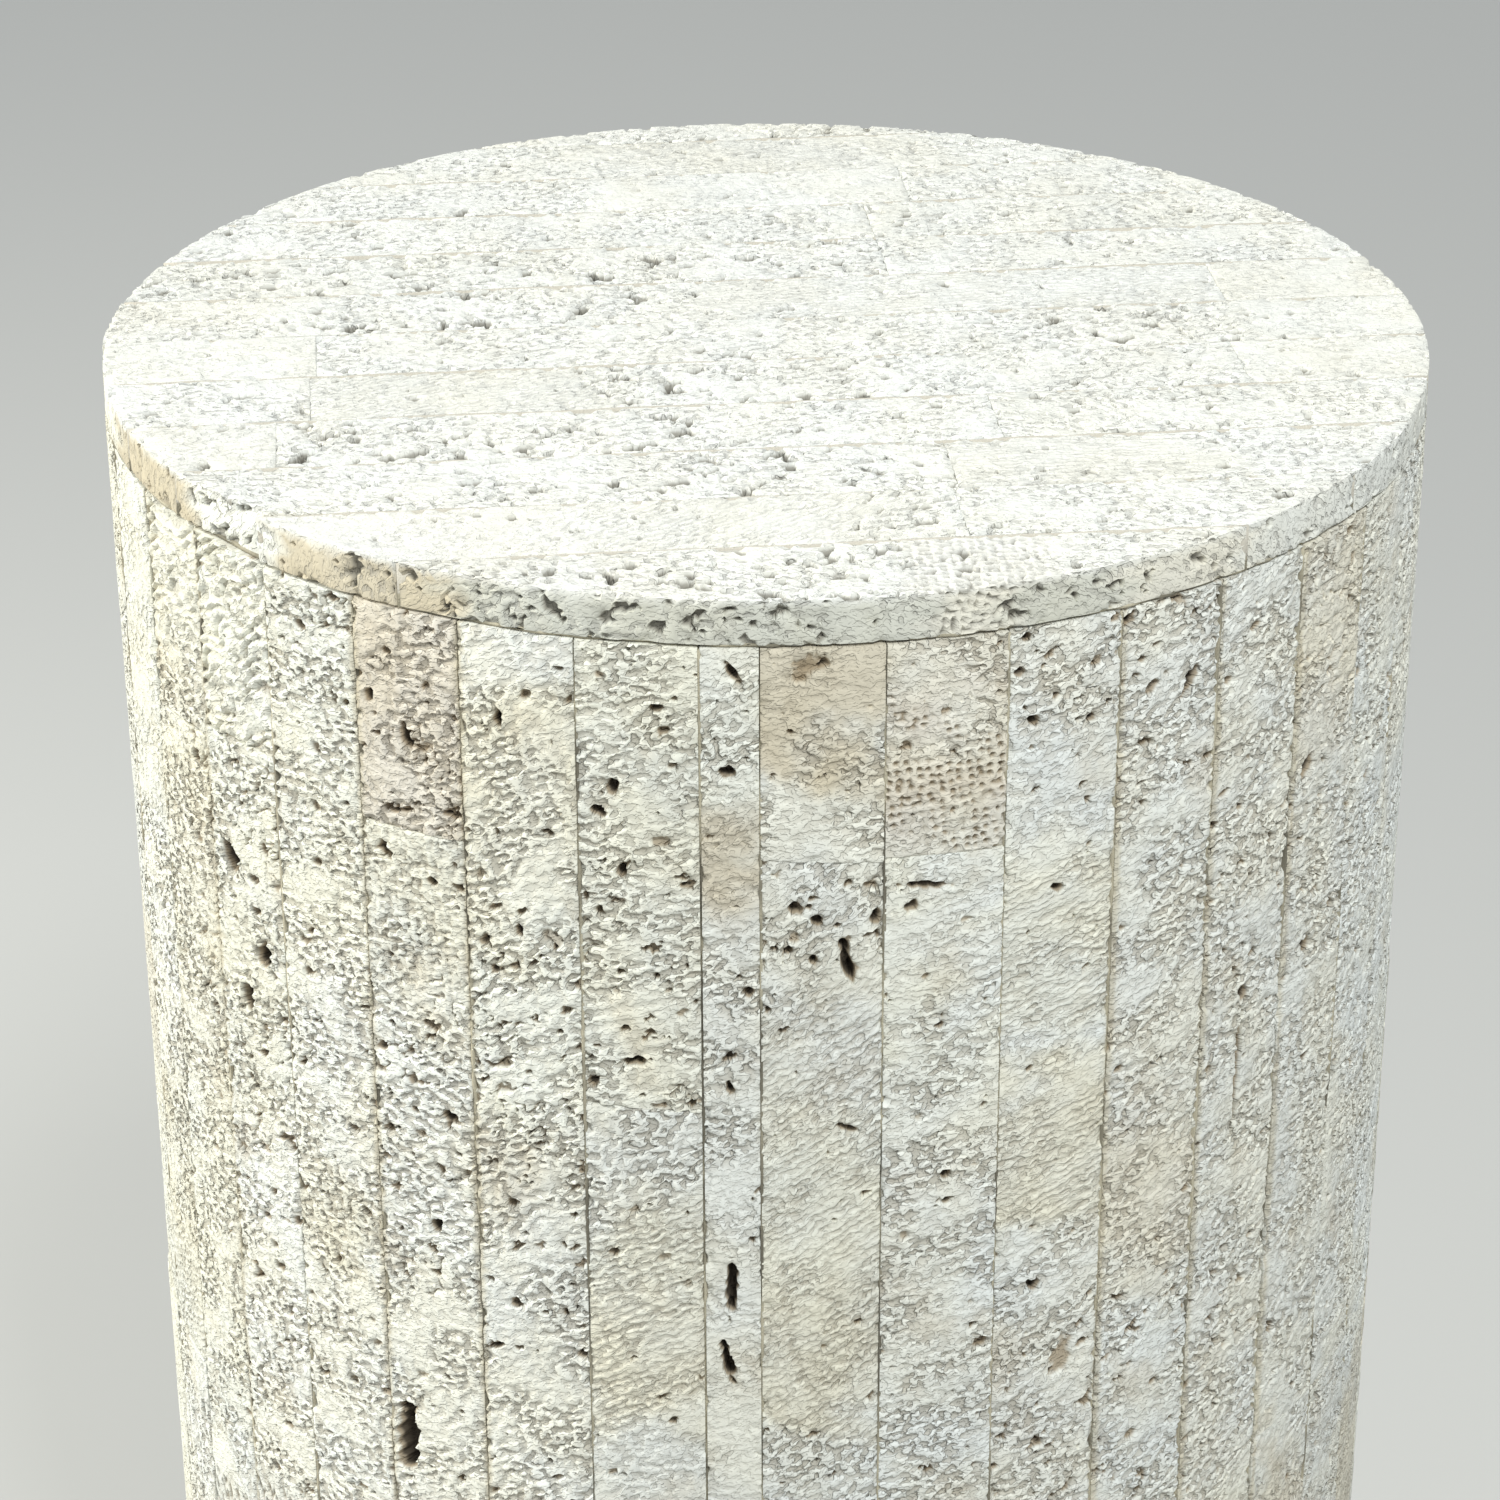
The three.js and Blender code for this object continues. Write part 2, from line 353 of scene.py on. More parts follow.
# Butt joints that show between the stones of the top strips, from each strip's middle.
TOP_BUTTS: dict[int, tuple[float, ...]] = {
    2: (40,),
    3: (42,),
    4: (-150, 60),
    5: (-140, 140),
    6: (-138,),
    7: (146,),
    8: (44,),
    9: (44,),
    10: (60,),
}

# Holes that stand out on the front of the drum.
CAVITIES: tuple[Cavity, ...] = (
    Cavity(-2.9, 218, 3.6, 22, 2, 6.5),
    Cavity(-3.3, 244, 3.4, 17, -12, 6.5),
    Cavity(-32.6, 292, 8.5, 30, 3, 7.0),
    Cavity(-51.0, 116, 8.0, 14, -30, 5.0),
    Cavity(-47.0, 143, 7.0, 11, 20, 5.5),
    Cavity(-49.6, 161, 7.0, 9, 0, 4.5),
    Cavity(-29.6, 53, 4.2, 9, -10, 5.0),
    Cavity(-27.0, 173, 6.0, 4, -20, 4.5),
    Cavity(-28.6, 212, 4.5, 5, 0, 5.0),
    Cavity(-12.0, 58, 4.4, 7, 12, 4.5),
    Cavity(-11.4, 84, 3.2, 4.5, 0, 4.0),
    Cavity(-10.6, 144, 8.0, 3.2, -12, 4.0),
    Cavity(-3.0, 151, 3.0, 6, -20, 4.0),
    Cavity(3.0, 20.5, 13, 8, -30, 1.7),
    Cavity(6.3, 111, 3.6, 16, -14, 5.0),
    Cavity(2.3, 94, 5.0, 5, 0, 3.5),
    Cavity(3.9, 97.5, 3.5, 5, -20, 4.0),
    Cavity(8.6, 97, 3.5, 7, 0, 3.5),
    Cavity(1.7, 107, 2.6, 3, 0, 3.5),
    Cavity(3.7, 110, 3.0, 3.5, 0, 3.5),
    Cavity(20.4, 17, 4.0, 3.5, 0, 3.5),
    Cavity(21.2, 42.5, 6.0, 4, 30, 3.5),
    Cavity(26.2, 45, 3.0, 3.2, 0, 4.0),
    Cavity(-3.0, 51.5, 5.0, 4, 0, 4.5),
    Cavity(-2.6, 22, 3.0, 9, -35, 3.5),
    Cavity(-5.15, 198, 1.6, 7, 0, 3.0),
    Cavity(-5.15, 208, 1.5, 5, 0, 3.0),
    Cavity(-5.15, 219, 1.6, 8, 0, 3.0),
    Cavity(-33.0, 43, 4.5, 5, 20, 4.5),
    Cavity(-21.3, 41, 3.0, 6, 0, 3.5),
    Cavity(-13.2, 66, 5.0, 3.5, 20, 4.5),
    Cavity(-8.4, 33, 6.0, 2.6, 0, 3.5),
    Cavity(-8.4, 74, 7.0, 5, 0, 1.5),
    Cavity(-27.7, 97, 3.4, 3.2, 0, 4.5),
    Cavity(-32.0, 91, 3.0, 7, -30, 3.5),
    Cavity(-20.0, 106.5, 3.0, 5, 0, 3.5),
    Cavity(-17.2, 107, 10, 6, 30, 1.2),
    Cavity(6.6, 165, 8.0, 2.4, 20, 3.0),
    Cavity(12.6, 88.5, 17, 3.0, 8, 3.6),
    Cavity(14.6, 183, 3.6, 3.6, 0, 4.0),
    Cavity(22.6, 227, 4.4, 4.0, 10, 4.5),
    Cavity(23.6, 96, 5.4, 3.0, 35, 4.0),
    Cavity(25.4, 255, 9.0, 18, 10, 1.6),
    Cavity(35.6, 42, 4.0, 11, 30, 4.0),
    Cavity(43.6, 152, 4.0, 6, 0, 4.5),
    Cavity(43.2, 178, 1.8, 44, 2, 3.2),
    Cavity(50.6, 87, 6.0, 11, 25, 5.0),
    Cavity(52.2, 148, 6.0, 6, -30, 4.0),
    Cavity(62.5, 107, 5.0, 6, 20, 4.5),
    Cavity(63.4, 208, 5.0, 6, -20, 4.5),
)

# How far a cavity's edge strays from an oval, as a share of its size, the length of its waves in
# millimetres, and where its wall starts and ends, as a share of its half size.
CAVITY_WOBBLE = 0.22
CAVITY_WAVES: Pair = (9.0, 4.0)
CAVITY_WALL: Pair = (0.45, 1.05)

# Grains, tints and lengths in millimetres that are drawn for patches which aren't listed.
USUAL_GRAINS: tuple[Grain, ...] = (
    Grain.GRANULAR,
    Grain.PITTED,
    Grain.GRANULAR,
    Grain.DENSE,
    Grain.RIDGED,
    Grain.GRANULAR,
    Grain.PITTED,
    Grain.CUPPED,
)
USUAL_TINTS: tuple[Tint, ...] = (
    Tint.IVORY,
    Tint.WHITE,
    Tint.GREY,
    Tint.CREAM,
    Tint.BLUE,
    Tint.IVORY,
    Tint.BEIGE,
)
USUAL_LENGTHS: Pair = (45.0, 130.0)

# Bearings of the joints whose mortar has smeared over the stones beside them.
SMEARED_JOINTS: tuple[float, ...] = (-53.5, -34.2, -24.5, 28.9, 38.7, 48.6)


class NodeSketch:
    """Draws a node tree: each method adds a node and gives back the socket that carries its result."""

    WAVES_PER_UNIT = 20.0 / (2.0 * math.pi)
    WHOLE_RIDGES: Pair = (3.0, 2.0)
    WHOLE_LEVELS: Pair = (0.34, 0.56)
    WORN_RIDGE = 0.25
    VALLEY_LEVELS: Pair = (0.75, 0.1)
    WORN_SIZE: Pair = (26.0, 17.0)
    WORN_LEVELS: Pair = (0.36, 0.56)
    LEAST_CRUMBLY = 0.3
    CRUMB_SIZE: Pair = (3.5, 2.1)
    CRUMB_EDGE = 0.07
    CUP_ROWS: Pair = (1.0, 0.9)
    CUP_STRAY = 0.42
    CUP_LEVELS: Pair = (0.4, 0.24)

    def __init__(self, tree: bpy.types.NodeTree) -> None:
        """Starts on an empty tree.

        Args:
            tree: The geometry or shader tree to draw in.
        """
        self.tree = tree
        self.tree.nodes.clear()

    def add(self, kind: str, **settings: object) -> bpy.types.Node:
        """Adds a node.

        Args:
            kind: The node's type name.
            settings: Properties to set on it.

        Returns:
            The new node.
        """
        node = self.tree.nodes.new(kind)
        for name, value in settings.items():
            setattr(node, name, value)
        return node

    def feed(self, value: Input, socket: bpy.types.NodeSocket) -> None:
        """Links a socket into another, or sets a plain value on it.

        Args:
            value: A number, a vector, a colour or an output socket.
            socket: The input to feed.
        """
        if isinstance(value, bpy.types.NodeSocket):
            self.tree.links.new(value, socket)
        else:
            socket.default_value = value

    def math(self, operation: str, a: Input, b: Input = 0.0) -> bpy.types.NodeSocket:
        """Combines two numbers.

        Args:
            operation: The Math node's operation.
            a: The first number.
            b: The second number.

        Returns:
            The result.
        """
        node = self.add("ShaderNodeMath", operation=operation)
        self.feed(a, node.inputs[0])
        self.feed(b, node.inputs[1])
        return node.outputs[0]

    def product(self, *values: Input) -> bpy.types.NodeSocket:
        """Multiplies any number of values together."""
        result = values[0]
        for value in values[1:]:
            result = self.math("MULTIPLY", result, value)
        return result

    def total(self, *values: Input) -> bpy.types.NodeSocket:
        """Adds any number of values together."""
        result = values[0]
        for value in values[1:]:
            result = self.math("ADD", result, value)
        return result

    def stretch(self, place: Input, sizes: Sequence[float]) -> bpy.types.NodeSocket:
        """Divides a place by a size along each axis, so that one cell of a pattern is that large.

        Args:
            place: The place on the stone, in millimetres.
            sizes: The pattern's size along X and Y, in millimetres.

        Returns:
            The stretched place.
        """
        node = self.add("ShaderNodeVectorMath", operation="DIVIDE")
        self.feed(place, node.inputs[0])
        node.inputs[1].default_value = (sizes[0], sizes[1], 1.0)
        return node.outputs[0]

    def step(self, value: Input, low: Input, high: Input) -> bpy.types.NodeSocket:
        """Goes smoothly from 0 at the low value to 1 at the high one.

        Args:
            value: The value to test.
            low: Where the result is 0.
            high: Where the result is 1, which may be below the low value.

        Returns:
            The result, from 0 to 1.
        """
        node = self.add("ShaderNodeMapRange", interpolation_type="SMOOTHSTEP")
        self.feed(value, node.inputs["Value"])
        self.feed(low, node.inputs["From Min"])
        self.feed(high, node.inputs["From Max"])
        return node.outputs[0]

    def noise(self, place: Input, detail: float, roughness: float = 0.5) -> bpy.types.NodeSocket:
        """Makes cloudy noise over a place.

        Args:
            place: The place, with one cloud to the unit.
            detail: How many finer layers the clouds have.
            roughness: How strong each finer layer is.

        Returns:
            The noise, from 0 to 1.
        """
        node = self.add("ShaderNodeTexNoise", noise_dimensions="2D")
        self.feed(place, node.inputs["Vector"])
        node.inputs["Scale"].default_value = 1.0
        node.inputs["Detail"].default_value = detail
        node.inputs["Roughness"].default_value = roughness
        return node.outputs[0]

    def cells(self, place: Input, randomness: float) -> bpy.types.Node:
        """Scatters cells over a place.

        Args:
            place: The place, with one cell to the unit.
            randomness: How far the cells stray from rows, from 0 to 1.

        Returns:
            The node, with the distance to each cell's middle and the cell's random colour.
        """
        node = self.add("ShaderNodeTexVoronoi", voronoi_dimensions="2D", feature="F1")
        self.feed(place, node.inputs["Vector"])
        node.inputs["Scale"].default_value = 1.0
        node.inputs["Randomness"].default_value = randomness
        return node

    def meanders(self, place: Input, pitch: float, wander: float) -> bpy.types.NodeSocket:
        """Wandering ridges from 0 to 1.

        Args:
            place: The place on the stone, in millimetres.
            pitch: The distance from ridge to ridge, in millimetres.
            wander: How far the ridges wander from straight.

        Returns:
            The height of the ridges.
        """
        node = self.add("ShaderNodeTexWave", wave_type="BANDS", bands_direction="Y", wave_profile="SIN")
        self.feed(place, node.inputs["Vector"])
        node.inputs["Scale"].default_value = 1.0 / (self.WAVES_PER_UNIT * pitch)
        node.inputs["Distortion"].default_value = wander
        node.inputs["Detail"].default_value = 1.0
        node.inputs["Detail Scale"].default_value = 1.5
        return node.outputs["Fac"]

    def whole_ridges(self, place: Input, pitch: float) -> bpy.types.NodeSocket:
        """Finds where ridges are whole and where they have worn down.

        Args:
            place: The place on the stone, in millimetres.
            pitch: The distance from ridge to ridge, in millimetres.

        Returns:
            How whole they are, from 0 to 1.
        """
        size = [pitch * ridges for ridges in self.WHOLE_RIDGES]
        whole = self.step(self.noise(self.stretch(place, size), 2.0), *self.WHOLE_LEVELS)
        return self.total(self.WORN_RIDGE, self.product(whole, 1.0 - self.WORN_RIDGE))

    def valleys(self, place: Input, pitch: float, wander: float) -> bpy.types.NodeSocket:
        """The valleys between wandering ridges, from 0 on the ridges to 1 at their bottom."""
        return self.step(self.meanders(place, pitch, wander), *self.VALLEY_LEVELS)

    def crumbly(self, place: Input, granular: Input) -> bpy.types.NodeSocket:
        """Where the face has crumbled and where it is still flat, from 0 to 1."""
        worn = self.step(self.noise(self.stretch(place, self.WORN_SIZE), 2.0), *self.WORN_LEVELS)
        crumbled = self.total(self.LEAST_CRUMBLY, self.product(worn, 1.0 - self.LEAST_CRUMBLY))
        return self.product(granular, crumbled)

    def crumbs(self, place: Input, cover: Input, crumbly: Input) -> bpy.types.NodeSocket:
        """Crumbled pockets between islands of flat face.

        Args:
            place: The place on the stone, in millimetres.
            cover: The noise level above which the face has crumbled away.
            crumbly: How crumbled the stone is, from 0 to 1.

        Returns:
            The pockets, from 0 on the face to 1 at their bottom.
        """
        flecks = self.noise(self.stretch(place, self.CRUMB_SIZE), 1.0)
        return self.product(self.step(flecks, cover, self.total(cover, self.CRUMB_EDGE)), crumbly)

    def cups(self, place: Input, pitch: float) -> bpy.types.NodeSocket:
        """Round coral cups in rows.

        Args:
            place: The place on the stone, in millimetres.
            pitch: The distance from cup to cup, in millimetres.

        Returns:
            The cups, from 0 on the face to 1 at their bottom.
        """
        size = [pitch * spacing for spacing in self.CUP_ROWS]
        rows = self.cells(self.stretch(place, size), self.CUP_STRAY)
        return self.step(rows.outputs["Distance"], *self.CUP_LEVELS)

    def blend(self, factor: Input, a: Input, b: Input) -> bpy.types.NodeSocket:
        """Mixes one colour into another.

        Args:
            factor: The share of the second colour, from 0 to 1.
            a: The first colour.
            b: The second colour.

        Returns:
            The mixed colour.
        """
        node = self.add("ShaderNodeMix", data_type="RGBA")
        self.feed(factor, node.inputs[0])
        self.feed(a if isinstance(a, bpy.types.NodeSocket) else (*a, 1.0), node.inputs[6])
        self.feed(b if isinstance(b, bpy.types.NodeSocket) else (*b, 1.0), node.inputs[7])
        return node.outputs[2]


@dataclass(frozen=True)
class CoralRelief:
    """The relief that wear and cutting leave in coral stone, in millimetres."""

    swell: float = 0.22
    swell_size: Pair = (30.0, 22.0)
    pore_depth: float = 0.9
    pore_cover: float = 0.49
    ridge_height: float = 0.3
    ridge_pitch: float = 2.4
    ridge_wander: float = 6.0
    fold_height: float = 1.5
    fold_pitch: float = 4.6
    fold_wander: float = 11.0
    cup_depth: float = 1.15
    cup_pitch: float = 2.9
    pit_depth: float = 3.2
    pit_spacing: float = 11.0
    pit_shape: Pair = (1.2, 0.85)
    pit_share: float = 0.6
    pit_radius: Pair = (0.07, 0.17)
    pit_ragged: Pair = (0.22, 0.2)
    pit_wobble: float = 0.34
    pit_floor: float = 0.35
    least_pit: float = 0.35
    ragged_depth: float = 2.4
    ragged_size: Pair = (10.0, 6.5)
    ragged_level: float = 0.75
    ragged_edge: float = 0.05
    ragged_help: float = 0.1
    ragged_grains: Pair = (0.05, 0.3)
    track_depth: float = 1.4
    track_size: Pair = (11.0, 8.0)
    track_region: Pair = (34.0, 34.0)
    track_width: Pair = (0.028, 0.006)
    track_levels: Pair = (0.58, 0.68)
    edge_wear: float = 0.2
    edge_reach: float = 0.9
    nick_depth: float = 1.4
    nick_reach: float = 3.5
    nick_size: Pair = (7.0, 7.0)
    nick_levels: Pair = (0.58, 0.72)
    # How much nicks and fold troughs count in the hollow depth, which the material paints with brown dirt,
    # painted shade and painted shadow.
    nick_shade: float = 0.3
    fold_shade: float = 0.5
    broad_size: Pair = (42.0, 30.0)
    hue_size: Pair = (33.0, 41.0)
    close_size: Pair = (9.0, 5.0)
    stain_size: Pair = (24.0, 38.0)
    hue_levels: Pair = (0.36, 0.64)
    stain_levels: Pair = (0.56, 0.78)
    darkest: float = 0.76
    broad_light: float = 0.2
    close_light: float = 0.28
    warm: Colour = (1.015, 1.0, 0.955)
    cool: Colour = (0.99, 1.0, 1.012)
    stain: Colour = (0.50, 0.43, 0.31)

    def inputs(self) -> dict[str, float]:
        """Gives the tree's named inputs and their values."""
        return {
            "Swell": self.swell,
            "Pore Depth": self.pore_depth,
            "Pore Cover": self.pore_cover,
            "Ridge Height": self.ridge_height,
            "Fold Height": self.fold_height,
            "Cup Depth": self.cup_depth,
            "Pit Depth": self.pit_depth,
            "Pit Share": self.pit_share,
            "Ragged Depth": self.ragged_depth,
            "Ragged Level": self.ragged_level,
            "Track Depth": self.track_depth,
            "Edge Wear": self.edge_wear,
            "Nick Depth": self.nick_depth,
        }

    def colours(self) -> dict[str, tuple[float, ...]]:
        """Gives the tree's named colours and their values."""
        return {"Warm": (*self.warm, 1.0), "Cool": (*self.cool, 1.0), "Stain": (*self.stain, 1.0)}

    def tree(self, name: str) -> bpy.types.NodeTree:
        """Builds the geometry node tree that carves the relief.

        Args:
            name: The tree's name.

        Returns:
            The tree, with a named input for each size and colour and for the material.
        """
        tree = bpy.data.node_groups.new(name, "GeometryNodeTree")
        sketch = NodeSketch(tree)
        face = tree.interface
        face.new_socket("Geometry", in_out="INPUT", socket_type="NodeSocketGeometry")
        for label in self.inputs():
            face.new_socket(label, in_out="INPUT", socket_type="NodeSocketFloat")
        for label in self.colours():
            face.new_socket(label, in_out="INPUT", socket_type="NodeSocketColor")
        face.new_socket("Material", in_out="INPUT", socket_type="NodeSocketMaterial")
        face.new_socket("Geometry", in_out="OUTPUT", socket_type="NodeSocketGeometry")
        given = sketch.add("NodeGroupInput").outputs

        place = self.named(sketch, "place", "FLOAT_VECTOR")
        edge = self.named(sketch, "edge")
        pitted = self.named(sketch, "pitted")
        bored = self.named(sketch, "bored")

        lumps = sketch.noise(sketch.stretch(place, self.swell_size), 1.0)
        swell = sketch.product(sketch.math("SUBTRACT", lumps, 0.5), 2.0, given["Swell"])

        crumbly = sketch.crumbly(place, self.named(sketch, "granular"))
        pores = sketch.product(sketch.crumbs(place, given["Pore Cover"], crumbly), given["Pore Depth"])

        ridged = sketch.product(sketch.whole_ridges(place, self.ridge_pitch), self.named(sketch, "ridged"))
        valleys = sketch.product(
            sketch.valleys(place, self.ridge_pitch, self.ridge_wander), given["Ridge Height"], ridged
        )
        troughs = sketch.product(
            sketch.valleys(place, self.fold_pitch, self.fold_wander),
            sketch.whole_ridges(place, self.fold_pitch),
            given["Fold Height"],
            self.named(sketch, "folded"),
        )
        cupped = sketch.product(sketch.cups(place, self.cup_pitch), self.named(sketch, "cupped"))
        cups = sketch.product(cupped, given["Cup Depth"])

        pits = self.scatter(sketch, place, given["Pit Share"], pitted)
        pit_depth = sketch.product(pits, given["Pit Depth"])

        cloud = sketch.noise(sketch.stretch(place, self.ragged_size), 3.5, 0.62)
        level = sketch.math("SUBTRACT", given["Ragged Level"], sketch.product(pitted, self.ragged_help))
        ragged = sketch.product(
            sketch.step(cloud, level, sketch.total(level, self.ragged_edge)),
            sketch.step(pitted, *self.ragged_grains),
            given["Ragged Depth"],
        )

        trail = sketch.noise(sketch.stretch(place, self.track_size), 1.5)
        off_trail = sketch.math("ABSOLUTE", sketch.math("SUBTRACT", trail, 0.5))
        trail_region = sketch.noise(sketch.stretch(place, self.track_region), 0.0)
        tracks = sketch.product(
            sketch.step(off_trail, *self.track_width),
            sketch.step(trail_region, *self.track_levels),
            given["Track Depth"],
            pitted,
        )

        wear = sketch.product(sketch.step(edge, self.edge_reach, 0.0), given["Edge Wear"])
        chance = sketch.noise(sketch.stretch(place, self.nick_size), 2.0)
        nicks = sketch.product(
            sketch.step(chance, *self.nick_levels),
            sketch.step(edge, self.nick_reach, 0.0),
            given["Nick Depth"],
        )

        holes = sketch.total(cups, pit_depth, ragged, tracks, bored)
        sunk = sketch.total(holes, pores, valleys, troughs, wear, nicks)
        kept = sketch.math("MINIMUM", sunk, self.named(sketch, "limit"))
        height = sketch.product(sketch.math("SUBTRACT", swell, kept), MILLIMETRE)

        scale = sketch.add("ShaderNodeVectorMath", operation="SCALE")
        sketch.feed(self.named(sketch, "outward", "FLOAT_VECTOR"), scale.inputs[0])
        sketch.feed(height, scale.inputs["Scale"])

        # The hollow depth sets how dark holes, nicks and fold troughs are painted: brown dirt with painted
        # shade, then painted shadow.
        deep = sketch.total(
            holes, sketch.product(nicks, self.nick_shade), sketch.product(troughs, self.fold_shade)
        )
        deep = sketch.math("MINIMUM", deep, self.named(sketch, "limit"))
        shape = given["Geometry"]
        looks = {
            "hollow": deep,
            "crumbly": crumbly,
            "ridged": ridged,
            "cupped": cupped,
            "tint": self.weathered(sketch, place, given),
        }
        for label, value in looks.items():
            kind = "FLOAT_COLOR" if label == "tint" else "FLOAT"
            store = sketch.add("GeometryNodeStoreNamedAttribute", data_type=kind, domain="POINT")
            sketch.feed(shape, store.inputs["Geometry"])
            store.inputs["Name"].default_value = label
            sketch.feed(value, store.inputs["Value"])
            shape = store.outputs[0]
        move = sketch.add("GeometryNodeSetPosition")
        sketch.feed(shape, move.inputs["Geometry"])
        sketch.feed(scale.outputs[0], move.inputs["Offset"])
        realize = sketch.add("GeometryNodeRealizeInstances")
        sketch.feed(move.outputs[0], realize.inputs[0])
        dress = sketch.add("GeometryNodeSetMaterial")
        sketch.feed(realize.outputs[0], dress.inputs["Geometry"])
        sketch.feed(given["Material"], dress.inputs["Material"])
        sketch.feed(dress.outputs[0], sketch.add("NodeGroupOutput").inputs[0])
        return tree

    def weathered(
        self, sketch: NodeSketch, place: Input, given: bpy.types.NodeOutputs
    ) -> bpy.types.NodeSocket:
        """Weathers the tint of the stone: soft light and dark, warm and cool, and tan stains.

        Args:
            sketch: The tree to draw in.
            place: The place on the stone, in millimetres.
            given: The tree's inputs, by name.

        Returns:
            The weathered tint.
        """
        broad = sketch.noise(sketch.stretch(place, self.broad_size), 3.0, 0.6)
        hue = sketch.noise(sketch.stretch(place, self.hue_size), 2.0, 0.55)
        tone = sketch.blend(sketch.step(hue, *self.hue_levels), given["Warm"], given["Cool"])
        bright = sketch.add("ShaderNodeVectorMath", operation="SCALE")
        sketch.feed(tone, bright.inputs[0])
        close = sketch.noise(sketch.stretch(place, self.close_size), 3.0, 0.6)
        shade = sketch.total(
            self.darkest, sketch.product(broad, self.broad_light), sketch.product(close, self.close_light)
        )
        sketch.feed(shade, bright.inputs["Scale"])
        tinted = sketch.add("ShaderNodeVectorMath", operation="MULTIPLY")
        sketch.feed(self.named(sketch, "tint", "FLOAT_COLOR"), tinted.inputs[0])
        sketch.feed(bright.outputs[0], tinted.inputs[1])
        spots = sketch.noise(sketch.stretch(place, self.stain_size), 3.0, 0.6)
        weight = sketch.product(sketch.step(spots, *self.stain_levels), self.named(sketch, "stained"))
        return sketch.blend(weight, tinted.outputs[0], given["Stain"])

    @staticmethod
    def named(sketch: NodeSketch, name: str, kind: str = "FLOAT") -> bpy.types.NodeSocket:
        """Reads an attribute that the stone's grid carries."""
        node = sketch.add("GeometryNodeInputNamedAttribute", data_type=kind)
        node.inputs["Name"].default_value = name
        return node.outputs["Attribute"]

    def scatter(
        self, sketch: NodeSketch, place: Input, share: Input, weight: Input
    ) -> bpy.types.NodeSocket:
        """Scatters ragged pits of many sizes.

        Args:
            sketch: The tree to draw in.
            place: The place on the stone, in millimetres.
            share: The share of the places that have a pit where the weight is 1.
            weight: How pitted the stone is, from 0 to 1.

        Returns:
            The pits, from 0 at the face to 1 at the bottom of the deepest.
        """
        size = [self.pit_spacing * length for length in self.pit_shape]
        cells = sketch.cells(sketch.stretch(place, size), 1.0)
        parts = sketch.add("FunctionNodeSeparateColor")
        sketch.feed(cells.outputs["Color"], parts.inputs[0])
        present = sketch.math("LESS_THAN", parts.outputs[0], sketch.product(share, weight))
        least, more = self.pit_radius
        radius = sketch.total(least, sketch.product(parts.outputs[1], parts.outputs[1], more))
        rough = [self.pit_spacing * length for length in self.pit_ragged]
        ragged = sketch.noise(sketch.stretch(place, rough), 2.0)
        wobble = sketch.product(sketch.math("SUBTRACT", ragged, 0.5), self.pit_wobble)
        reach = sketch.total(cells.outputs["Distance"], wobble)
        bowl = sketch.step(reach, radius, sketch.product(radius, self.pit_floor))
        depth = sketch.total(self.least_pit, sketch.product(parts.outputs[2], 1.0 - self.least_pit))
        return sketch.product(bowl, present, depth)


@dataclass(frozen=True)
class StoneFinish:
    """Weathered coral stone, coloured by the patches written on each stone, with dirt and painted shade in
    its recesses.
    """

    name: str
    pore_cover: float = 0.5
    # How strongly pockets and fine grain are darkened with dirt and painted shade.
    pore_shade: float = 0.5
    grain_shade: float = 0.14
    relief: float = 1.0
    # Pockets, ridge valleys, cups and fine grain are blended towards this colour: dirt, and painted shade
    # in these recesses.
    dust_and_pocket_shade: Colour = (0.27, 0.235, 0.175)
    # Brown for hollows of middle depth: dirt that settles in them, together with painted shade.
    brown: Colour = (0.29, 0.22, 0.135)
    # Near black for the deepest hollows: painted shadow at their bottom.
    dark: Colour = (0.045, 0.036, 0.026)
    brown_depths: Pair = (0.4, 1.7)
    dark_depths: Pair = (1.5, 3.4)
    brown_share: float = 0.8
    dark_share: float = 0.9
    roughness: float = 0.88
    specular: float = 0.15

    def material(self, weathering: bpy.types.NodeTree) -> bpy.types.Material:
        """Builds the material.

        Args:
            weathering: The shared node group of pockets, ridges and grain.

        Returns:
            The material.
        """
        material = bpy.data.materials.new(self.name)
        material.use_nodes = True
        sketch = NodeSketch(material.node_tree)
        group = sketch.add("ShaderNodeGroup", node_tree=weathering)
        group.inputs["Pore Cover"].default_value = self.pore_cover
        sketch.feed(self.named(sketch, "place").outputs["Vector"], group.inputs["Place"])
        for label in ("crumbly", "ridged", "cupped"):
            sketch.feed(self.named(sketch, label).outputs["Fac"], group.inputs[label.title()])
        hollow = self.named(sketch, "hollow").outputs["Fac"]

        colour = self.named(sketch, "tint").outputs["Color"]
        # Darkening layers: dirt and painted shade in grain and pockets, brown dirt with painted shade in
        # hollows, painted shadow in the deepest.
        layers = (
            (sketch.product(group.outputs["Grain"], self.grain_shade), self.dust_and_pocket_shade),
            (sketch.product(group.outputs["Pores"], self.pore_shade), self.dust_and_pocket_shade),
            (sketch.product(sketch.step(hollow, *self.brown_depths), self.brown_share), self.brown),
            (sketch.product(sketch.step(hollow, *self.dark_depths), self.dark_share), self.dark),
        )
        for weight, paint in layers:
            colour = sketch.blend(weight, colour, paint)

        bump = sketch.add("ShaderNodeBump")
        bump.inputs["Strength"].default_value = 1.0
        bump.inputs["Distance"].default_value = self.relief * MILLIMETRE
        sketch.feed(group.outputs["Height"], bump.inputs["Height"])

        shader = sketch.add("ShaderNodeBsdfPrincipled", distribution="GGX")
        shader.inputs["Roughness"].default_value = self.roughness
        shader.inputs["Specular IOR Level"].default_value = self.specular
        sketch.feed(colour, shader.inputs["Base Color"])
        sketch.feed(bump.outputs[0], shader.inputs["Normal"])
        output = sketch.add("ShaderNodeOutputMaterial")
        sketch.feed(shader.outputs[0], output.inputs[0])
        return material

    @staticmethod
    def named(sketch: NodeSketch, name: str) -> bpy.types.Node:
        """Reads an attribute that the stone carries."""
        return sketch.add("ShaderNodeAttribute", attribute_name=name)


